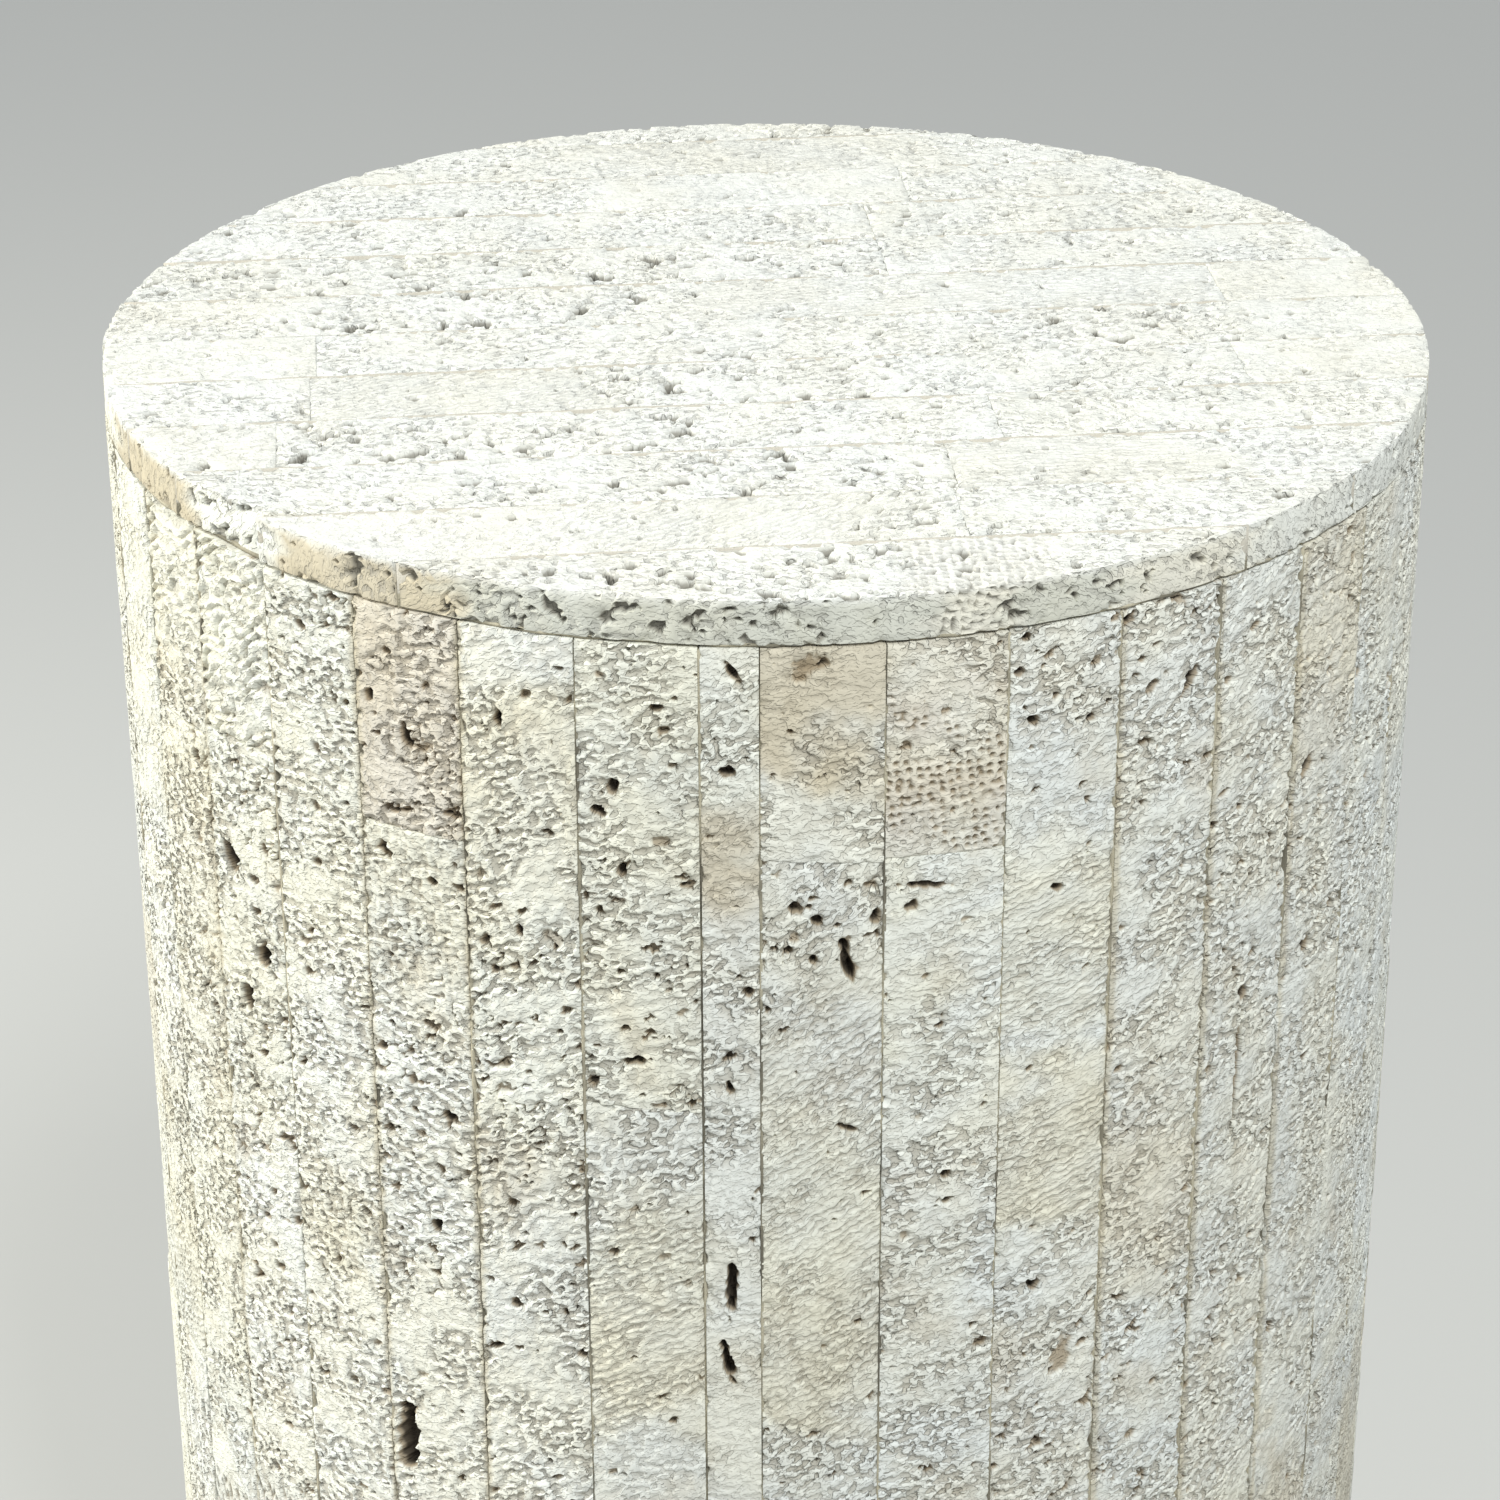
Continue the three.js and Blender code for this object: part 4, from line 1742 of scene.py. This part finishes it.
@dataclass
class StripTop:
    """The parallel strips of stone that make the top."""

    finish: bpy.types.Material
    relief: CoralRelief
    carver: Carver
    breakage: Break = Break()
    turn_degrees: float = 5.7
    step: float = 0.9
    widen: float = 0.4
    butt_gap: float = 0.08
    end_step: float = 0.5
    layers: int = 14
    triangles: int = 13500
    deepest: float = 4.0
    rim_deepest: float = 2.3
    edge_limit: float = 1.0
    arris_limit: float = 1.5
    # The top's tint is pulled most of the way to one pale grey, a little darker than the whitest side
    # stone: painted shade that offsets the stronger light on the top.
    top_shade_share: float = 0.7
    top_shade_tint: Colour = (0.66, 0.66, 0.625)
    sink: float = 0.3
    stained: float = 0.1
    tip: float = 0.4
    full_area: float = 203.0 * 35.0
    budget_shares: Pair = (0.2, 1.15)
    outer_margin: float = 2.0
    edge_band: Pair = (0.5, 3.0)
    rim_band: Pair = (0.2, 2.2)
    grain_lean: Pair = (8.0, 16.0)
    block_reach: float = 4000.0

    def build(self) -> None:
        """Builds every strip."""
        for name in sorted(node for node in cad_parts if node.startswith("top_strip")):
            self.build_strip(name, int(name.split("_")[-1]))

    def build_strip(self, name: str, number: int) -> None:
        """Builds one strip from the node it stands for.

        Args:
            name: The node's name.
            number: The strip's number, from the front.
        """
        points = node_points(name)
        turn = math.radians(self.turn_degrees)
        offset = -points[:, 0] * math.sin(turn) + points[:, 1] * math.cos(turn)
        radius = float(np.hypot(points[:, 0], points[:, 1]).max())
        first, last = float(offset.min()), float(offset.max())
        first -= 0.0 if first < -radius + 1.0 else self.widen
        last += 0.0 if last > radius - 1.0 else self.widen
        levels = (float(points[:, 2].min()) - self.sink, float(points[:, 2].max()))

        middle = 0.0 if first < 0.0 < last else min(abs(first), abs(last))
        reach = math.sqrt(radius**2 - middle**2)
        cuts = [-math.inf, *TOP_BUTTS.get(number, ()), math.inf]
        grid = StoneGrid()
        for index in range(len(cuts) - 1):
            seed = Seed.STRIPS + 100 * number + index
            span = (cuts[index], cuts[index + 1])
            self.add_stone(grid, span, (first, last), levels, radius, reach, number, seed)
        area = reach * (last - first) / self.full_area
        least, largest = self.budget_shares
        most = int(self.triangles * min(largest, least + area))
        values = {**self.relief.inputs(), **self.relief.colours(), "Material": self.finish}
        self.carver.start(f"coral_{name}", name, "top_stone", grid, values, most)

    def plan(
        self, u: np.ndarray, v: np.ndarray, span: Pair, sides: Pair, radius: float
    ) -> tuple[np.ndarray, np.ndarray]:
        """Places points of a stone in plan, in the strips' own turned frame.

        Args:
            u: Places along the stone, from 0 at its left end to 1 at its right.
            v: Places across it, from 0 at its front to 1 at its back.
            span: Where it starts and ends along the strip, infinite where the rim cuts it.
            sides: The offsets of its front and back sides from the drum's axis.
            radius: The drum's radius, at the strip's own ends.

        Returns:
            The places along and across the strips.
        """
        first, last = sides
        if first < -radius + self.outer_margin:
            along = (2.0 * u - 1.0) * (math.sqrt(radius**2 - last**2) - self.tip)
            rim = -np.sqrt(radius**2 - along**2)
            return along, rim + (last - rim) * v
        if last > radius - self.outer_margin:
            along = (2.0 * u - 1.0) * (math.sqrt(radius**2 - first**2) - self.tip)
            rim = np.sqrt(radius**2 - along**2)
            return along, first + (rim - first) * v
        across = first + (last - first) * v
        rim = np.sqrt(radius**2 - across**2)
        left = -rim if math.isinf(span[0]) else span[0] + self.butt_gap / 2.0
        right = rim if math.isinf(span[1]) else span[1] - self.butt_gap / 2.0
        return left + (right - left) * u, across

    def add_stone(
        self,
        grid: StoneGrid,
        span: Pair,
        sides: Pair,
        levels: Pair,
        radius: float,
        reach: float,
        number: int,
        seed: int,
    ) -> None:
        """Adds one stone of a strip.

        Args:
            grid: The strip's grid.
            span: Where the stone starts and ends along the strip, infinite where the rim cuts it.
            sides: The offsets of the strip's sides from the drum's axis, in millimetres.
            levels: The heights of its underside and its top.
            radius: The drum's radius.
            reach: Half the strip's length.
            number: The strip's number.
            seed: The stone's own seed.
        """
        draw = np.random.default_rng(seed)
        step = self.step * 1.0
        start, end = max(span[0], -reach), min(span[1], reach)
        counts = (
            max(4, round((end - start) / step)),
            max(4, round((sides[1] - sides[0]) / step)),
            self.layers,
        )
        i, j, k, faces = box_surface(*counts)
        rise = k / counts[2]
        own_radius = radius + float(draw.uniform(-self.end_step, self.end_step))
        along, across = self.plan(i / counts[0], j / counts[1], span, sides, own_radius)
        turn = math.radians(self.turn_degrees)
        x = along * math.cos(turn) - across * math.sin(turn)
        y = along * math.sin(turn) + across * math.cos(turn)
        if number == self.breakage.strip and math.isinf(span[0]):
            kept = 1.0 - self.breakage.pull(x, y, rise, radius) / radius
            x, y = x * kept, y * kept
        thickness = levels[1] - levels[0]
        points = np.stack([x, y, levels[0] + thickness * rise], -1)

        distance = np.hypot(x, y)
        at_front = sides[0] < -radius + self.outer_margin
        at_back = sides[1] > radius - self.outer_margin
        on_top = k == counts[2]
        if at_front or at_back:
            on_rim = j == (0 if at_front else counts[1])
        else:
            on_rim = ((i == 0) & math.isinf(span[0])) | ((i == counts[0]) & math.isinf(span[1]))
        out = np.zeros((len(x), 3))
        out[on_top, 2] = 1.0
        out[on_rim, 0] = (x / distance)[on_rim]
        out[on_rim, 1] = (y / distance)[on_rim]
        out /= np.maximum(np.linalg.norm(out, axis=1), NEAR_NOTHING)[:, None]

        below = thickness * (1.0 - rise)
        far = np.full(len(x), FAR_AWAY)
        edge = np.minimum.reduce(
            [
                np.where(on_rim, below, np.abs(own_radius - distance)),
                far if at_front else across - sides[0],
                far if at_back else sides[1] - across,
                far if math.isinf(span[0]) else along - span[0],
                far if math.isinf(span[1]) else span[1] - along,
                np.where(on_rim, thickness * rise, far),
            ]
        )
        edge = np.maximum(edge, 0.0)

        folded_along = along * (1.0 + below / np.maximum(distance, 1.0))
        folded_across = across * (1.0 + below / np.maximum(distance, 1.0))
        lean = draw.normal(*self.grain_lean)
        shift = draw.uniform(-self.block_reach, self.block_reach, 2)
        marks = self.dress(along, across, x, y, below, number, (start, end), seed)
        marks["place"] = grain_place(folded_along, folded_across, lean, shift)
        marks["outward"] = out
        marks["edge"] = edge
        limit = np.where(on_rim, self.arris_limit, self.edge_limit)
        deepest = np.where(on_rim, self.rim_deepest, self.deepest)
        marks["limit"] = limit + (deepest - limit) * smooth(edge, *self.edge_band)
        marks["bored"] = np.zeros(len(x))
        marks["stained"] = np.full(len(x), self.stained)
        grid.add(points * MILLIMETRE, (faces,), marks)

    def dress(
        self,
        along: np.ndarray,
        across: np.ndarray,
        x: np.ndarray,
        y: np.ndarray,
        below: np.ndarray,
        number: int,
        span: Pair,
        seed: int,
    ) -> dict[str, np.ndarray]:
        """Works out the grain and the tint of a stone, toned with painted shade on the top and as it was
        on the rim.

        Args:
            along: Places along the strip, in millimetres.
            across: Places across it.
            x: Places along the drum's X axis.
            y: Places along its Y axis.
            below: How far each point is below the top.
            number: The strip's number.
            span: Where the stone starts and ends.
            seed: The stone's own seed.

        Returns:
            The marks by attribute name.
        """
        marks = PatchWork.within(TOP_PATCHES[number], *span, seed).marks(across, along)
        # Painted shade on the top: the tint is pulled towards the pale grey.
        pale = np.array((*self.top_shade_tint, 1.0))
        marks["tint"] = marks["tint"] + (pale - marks["tint"]) * self.top_shade_share
        bearing = np.degrees(np.arctan2(x, -y))
        rim = PatchWork(RIM_PATCHES, Seed.RIM, border=0.6, tint_border=1.5, wander=0.5)
        side = rim.marks(below, bearing)
        share = smooth(below, *self.rim_band)
        for label, values in side.items():
            weight = share if values.ndim == 1 else share[:, None]
            marks[label] = marks[label] + (values - marks[label]) * weight
        return marks


def box_surface(nx: int, ny: int, nz: int) -> tuple[np.ndarray, np.ndarray, np.ndarray, np.ndarray]:
    """Makes the closed surface of a block of cells.

    Args:
        nx: The number of cells along X.
        ny: The number along Y.
        nz: The number along Z.

    Returns:
        The lattice places of the points along X, Y and Z, and the faces, which point outwards.
    """
    shape = (nx + 1, ny + 1, nz + 1)
    skin = np.ones(shape, bool)
    skin[1:-1, 1:-1, 1:-1] = False
    number = np.full(shape, -1)
    number[skin] = np.arange(skin.sum())

    def side(plane: np.ndarray, flip: bool) -> np.ndarray:
        """Makes the faces of one side of the block."""
        loop = [plane[:-1, :-1], plane[1:, :-1], plane[1:, 1:], plane[:-1, 1:]]
        if flip:
            loop.reverse()
        return np.stack(loop, -1).reshape(-1, 4)

    faces = np.concatenate(
        [
            side(number[:, :, -1], False),
            side(number[:, :, 0], True),
            side(number[:, 0, :], False),
            side(number[:, -1, :], True),
            side(number[-1, :, :], False),
            side(number[0, :, :], True),
        ]
    )
    i, j, k = np.nonzero(skin)
    return i.astype(float), j.astype(float), k.astype(float), faces


# The drum's radius to the nearest tenth of a metre, close enough for the angle of half a joint.
NEAR_RADIUS = 0.2


@dataclass
class JointMortar:
    """The mortar in the joints, level with the stones in some places and washed out in others."""

    finish: bpy.types.Material
    width: float = 0.85
    depth: float = 11.0
    least_recess: float = 0.1
    most_recess: float = 1.5
    step: float = 5.0
    lift: float = 2.0
    ring_steps: int = 720
    top_share: float = 0.5
    bed_share: float = 1.9
    half_joint: ClassVar[float] = 0.6
    levels: Pair = (0.25, 0.75)
    slow_wave: Pair = (0.55, 160.0)
    quick_wave: Pair = (0.4, 23.0)
    back_gap: float = 1.0
    end_gap: float = 0.5

    def build(self) -> bpy.types.Object:
        """Builds the mortar.

        Returns:
            The finished piece.
        """
        grid = StoneGrid()
        radius = float(CAD_BOX[1][0]) / MILLIMETRE
        top = float(CAD_BOX[1][2]) / MILLIMETRE
        bed = float(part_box("stave_01")[1].z) / MILLIMETRE + self.half_joint
        for index, bearing in enumerate(self.joint_bearings()):
            heights = np.arange(self.lift, bed, self.step)
            recess = self.recess(heights, Seed.SIDE_JOINTS + index)
            out = np.array([math.sin(bearing), -math.cos(bearing), 0.0])
            side = np.array([math.cos(bearing), math.sin(bearing), 0.0])
            start = np.stack([np.zeros_like(heights), np.zeros_like(heights), heights], -1)
            self.add_fin(grid, start, out, side, radius - recess, radius - self.depth - self.back_gap)
        turn = math.radians(StripTop.turn_degrees)
        for index, offset in enumerate(self.top_offsets(turn)):
            half = math.sqrt(radius**2 - offset**2) - self.end_gap
            places = np.linspace(-half, half, max(8, round(2.0 * half / self.step)))
            recess = self.recess(places, Seed.TOP_JOINTS + index) * self.top_share
            along = np.array([math.cos(turn), math.sin(turn), 0.0])
            side = np.array([-math.sin(turn), math.cos(turn), 0.0])
            start = places[:, None] * along + offset * side
            self.add_fin(grid, start, np.array([0.0, 0.0, 1.0]), -side, top - recess, bed)
        self.add_ring(grid, radius, bed)
        mesh = grid.mesh("mortar_joints")
        mesh.materials.append(self.finish)
        piece = bpy.data.objects.new("mortar_joints", mesh)
        bpy.context.scene.collection.objects.link(piece)
        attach(piece, "root")
        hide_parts("joint_mortar")
        LOG.info("%s: %d points", piece.name, len(mesh.vertices))
        return piece

    def recess(self, places: np.ndarray, seed: int) -> np.ndarray:
        """Works out how far the mortar stands back along a joint.

        Args:
            places: Places along the joint, in millimetres.
            seed: The joint's own seed.

        Returns:
            The distance back from the face at each place.
        """
        draw = np.random.default_rng(seed)
        level = draw.uniform(*self.levels)
        straight = np.zeros_like(places)
        slow = self.slow_wave[0] * ripple(places, straight, seed, self.slow_wave[1])
        quick = self.quick_wave[0] * ripple(places, straight, seed + Seed.QUICK_WAVE, self.quick_wave[1])
        share = np.clip(level + (slow + quick), 0.0, 1.0)
        return self.least_recess + (self.most_recess - self.least_recess) * share

    @staticmethod
    def joint_bearings() -> list[float]:
        """Finds the joints between the staves.

        Returns:
            The bearing of each joint, in radians.
        """
        middles = []
        for name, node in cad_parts.items():
            if "stave" not in name:
                continue
            points = np.array([vertex.co for vertex in node.data.vertices])
            middle = math.atan2(points[:, 0].mean(), -points[:, 1].mean())
            turned = points[:, 0] * math.cos(middle) + points[:, 1] * math.sin(middle)
            outward = points[:, 0] * math.sin(middle) - points[:, 1] * math.cos(middle)
            half_angle = JointMortar.half_joint * MILLIMETRE / NEAR_RADIUS
            middles.append(middle + float(np.arctan2(turned, outward).max()) + half_angle)
        return middles

    @staticmethod
    def top_offsets(turn: float) -> list[float]:
        """Finds the joints between the top strips.

        Args:
            turn: The strips' turn to the view, in radians.

        Returns:
            The offset of each joint from the drum's axis, in millimetres.
        """
        offsets = []
        for name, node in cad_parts.items():
            if name.startswith("top_strip"):
                points = np.array([vertex.co for vertex in node.data.vertices]) / MILLIMETRE
                across = -points[:, 0] * math.sin(turn) + points[:, 1] * math.cos(turn)
                offsets.append(float(across.max()) + JointMortar.half_joint)
        return sorted(offsets)[:-1]

    def add_fin(
        self,
        grid: StoneGrid,
        start: np.ndarray,
        out: np.ndarray,
        side: np.ndarray,
        outer: np.ndarray,
        inner: float,
    ) -> None:
        """Adds one straight fin of mortar.

        Args:
            grid: The mortar's grid.
            start: Points along the joint's line, in millimetres.
            out: The direction towards the face.
            side: The direction across the joint.
            outer: How far out the mortar's face is at each point.
            inner: How far out its back is.
        """
        count = len(start)
        half = self.width / 2.0
        ring = [
            start + outer[:, None] * out - half * side,
            start + outer[:, None] * out + half * side,
            start + inner * out + half * side,
            start + inner * out - half * side,
        ]
        points = np.stack(ring, 1).reshape(-1, 3)
        index = np.arange(count * 4).reshape(count, 4)
        turned = np.roll(index, -1, 1)
        quads = np.stack([index[:-1], turned[:-1], turned[1:], index[1:]], -1).reshape(-1, 4)
        caps = np.stack([index[0][::-1], index[-1]])
        grid.add(points * MILLIMETRE, (quads, caps), {})

    def add_ring(self, grid: StoneGrid, radius: float, bed: float) -> None:
        """Adds the bed of mortar under the top.

        Args:
            grid: The mortar's grid.
            radius: The drum's radius, in millimetres.
            bed: The height of the middle of the bed.
        """
        angles = np.linspace(0.0, 2.0 * math.pi, self.ring_steps, endpoint=False)
        outer = radius - self.recess(angles * radius, Seed.BED) * self.bed_share
        inner = np.full_like(outer, radius - self.depth - self.back_gap)
        half = self.width / 2.0
        ring = []
        for reach, rise in ((outer, -half), (outer, half), (inner, half), (inner, -half)):
            level = np.full_like(reach, bed + rise)
            ring.append(np.stack([reach * np.cos(angles), reach * np.sin(angles), level], -1))
        points = np.stack(ring, 1).reshape(-1, 3)
        index = np.arange(len(points)).reshape(-1, 4)
        following = np.roll(index, -1, 0)
        turned, following_turned = np.roll(index, -1, 1), np.roll(following, -1, 1)
        quads = np.stack([index, following, following_turned, turned], -1).reshape(-1, 4)
        grid.add(points * MILLIMETRE, (quads,), {})


@dataclass(frozen=True)
class Lamp:
    """A square soft light: its place and side in metres, its power in watts and its colour."""

    name: str
    place: Place
    side: float
    watts: float
    colour: Colour

    def hang(self, target: Vector) -> None:
        """Hangs the lamp and aims it.

        Args:
            target: The point that it shines at, in metres.
        """
        light = bpy.data.lights.new(self.name, "AREA")
        light.size = self.side
        light.energy = self.watts
        light.color = self.colour
        lamp = bpy.data.objects.new(self.name, light)
        lamp.location = self.place
        lamp.rotation_euler = (target - Vector(self.place)).to_track_quat("-Z", "Y").to_euler()
        bpy.context.scene.collection.objects.link(lamp)


@dataclass(frozen=True)
class Studio:
    """A pale floor, soft light from the upper left, and the camera."""

    image_pixels: float = 1500.0
    focal_pixels: float = 4295.0
    pitch: float = 0.46
    roll: float = -0.0046
    yaw: float = -0.0043
    back_radii: float = 6.1251
    above_radii: float = 2.3216
    sensor: float = 36.0
    floor_half: float = 6.0
    floor_colour: Colour = (0.50, 0.50, 0.48)
    floor_roughness: float = 0.9
    aim_share: float = 0.8
    sky_colour: Colour = (0.93, 0.97, 1.0)
    sky_strength: float = 0.72
    overhead: Lamp = Lamp("overhead", (0.45, -1.45, 2.4), 0.5, 40.0, (0.98, 1.0, 0.99))
    key: Lamp = Lamp("key", (-2.38, 0.05, 1.5), 0.6, 67.0, (1.0, 0.985, 0.91))

    def build(self) -> None:
        """Builds the floor, the lights and the camera."""
        self.floor()
        self.light()
        self.camera()
        LOG.info("floor, lights and camera placed")

    def floor(self) -> None:
        """Lays the floor."""
        mesh = bpy.data.meshes.new("floor")
        half = self.floor_half
        corners = [(-half, -half, 0.0), (half, -half, 0.0), (half, half, 0.0), (-half, half, 0.0)]
        mesh.from_pydata(corners, [], [(0, 1, 2, 3)])
        material = bpy.data.materials.new("pale floor")
        material.use_nodes = True
        shader = material.node_tree.nodes["Principled BSDF"]
        shader.inputs["Base Color"].default_value = (*self.floor_colour, 1.0)
        shader.inputs["Roughness"].default_value = self.floor_roughness
        mesh.materials.append(material)
        floor = bpy.data.objects.new("floor", mesh)
        bpy.context.scene.collection.objects.link(floor)

    def light(self) -> None:
        """Hangs the lamps and sets the sky."""
        target = Vector((0.0, 0.0, frame_height() * MILLIMETRE * self.aim_share))
        self.overhead.hang(target)
        self.key.hang(target)
        world = bpy.data.worlds.new("sky")
        world.use_nodes = True
        sky = world.node_tree.nodes["Background"]
        sky.inputs["Color"].default_value = (*self.sky_colour, 1.0)
        sky.inputs["Strength"].default_value = self.sky_strength
        bpy.context.scene.world = world
        bpy.context.scene.view_settings.view_transform = "Standard"

    def camera(self) -> None:
        """Places the camera where the photograph was taken from."""
        radius = float(CAD_BOX[1][0])
        lens = bpy.data.cameras.new("camera")
        lens.sensor_width = self.sensor
        lens.lens = self.sensor * self.focal_pixels / self.image_pixels
        forward = Vector(
            (
                math.sin(self.yaw) * math.cos(self.pitch),
                math.cos(self.yaw) * math.cos(self.pitch),
                -math.sin(self.pitch),
            )
        )
        level = Vector((math.cos(self.yaw), -math.sin(self.yaw), 0.0))
        upright = level.cross(forward)
        right = math.cos(self.roll) * level + math.sin(self.roll) * upright
        up = -math.sin(self.roll) * level + math.cos(self.roll) * upright
        place = Vector((0.0, -self.back_radii * radius, float(CAD_BOX[1][2]) + self.above_radii * radius))
        camera = bpy.data.objects.new("camera", lens)
        camera.matrix_world = Matrix(
            (
                (right.x, up.x, -forward.x, place.x),
                (right.y, up.y, -forward.y, place.y),
                (right.z, up.z, -forward.z, place.z),
                (0.0, 0.0, 0.0, 1.0),
            )
        )
        bpy.context.scene.collection.objects.link(camera)
        bpy.context.scene.camera = camera


def main() -> None:
    """Builds the pedestal and its surroundings."""
    logging.basicConfig(level=logging.INFO, format="%(name)s: %(message)s")
    Studio().build()
    weathering = Weathering().group()
    side_relief = CoralRelief()
    top_relief = CoralRelief(
        pore_depth=0.6,
        pore_cover=0.565,
        ridge_height=0.3,
        pit_depth=4.2,
        pit_share=0.75,
        ragged_depth=3.6,
        ragged_level=0.7,
        warm=(1.008, 1.0, 0.975),
        cool=(0.995, 1.0, 1.005),
    )
    side_stone = StoneFinish("side stone", pore_cover=side_relief.pore_cover).material(weathering)
    # The top stone paints lighter, greyer dirt and shade in its pockets and hollows than the side stone,
    # and a paler painted shadow in its deepest hollows.
    top_stone = StoneFinish(
        "top stone",
        pore_cover=top_relief.pore_cover,
        pore_shade=0.38,
        grain_shade=0.03,
        relief=0.7,
        dust_and_pocket_shade=(0.29, 0.28, 0.25),
        brown=(0.26, 0.245, 0.205),
        dark=(0.13, 0.122, 0.10),
    ).material(weathering)
    carver = Carver(side_relief.tree("coral relief"))
    StaveRing(side_stone, side_relief, carver).build()
    StripTop(top_stone, top_relief, carver).build()
    carver.finish()
    JointMortar(MortarFinish().material()).build()


if __name__ == "__main__":
    main()
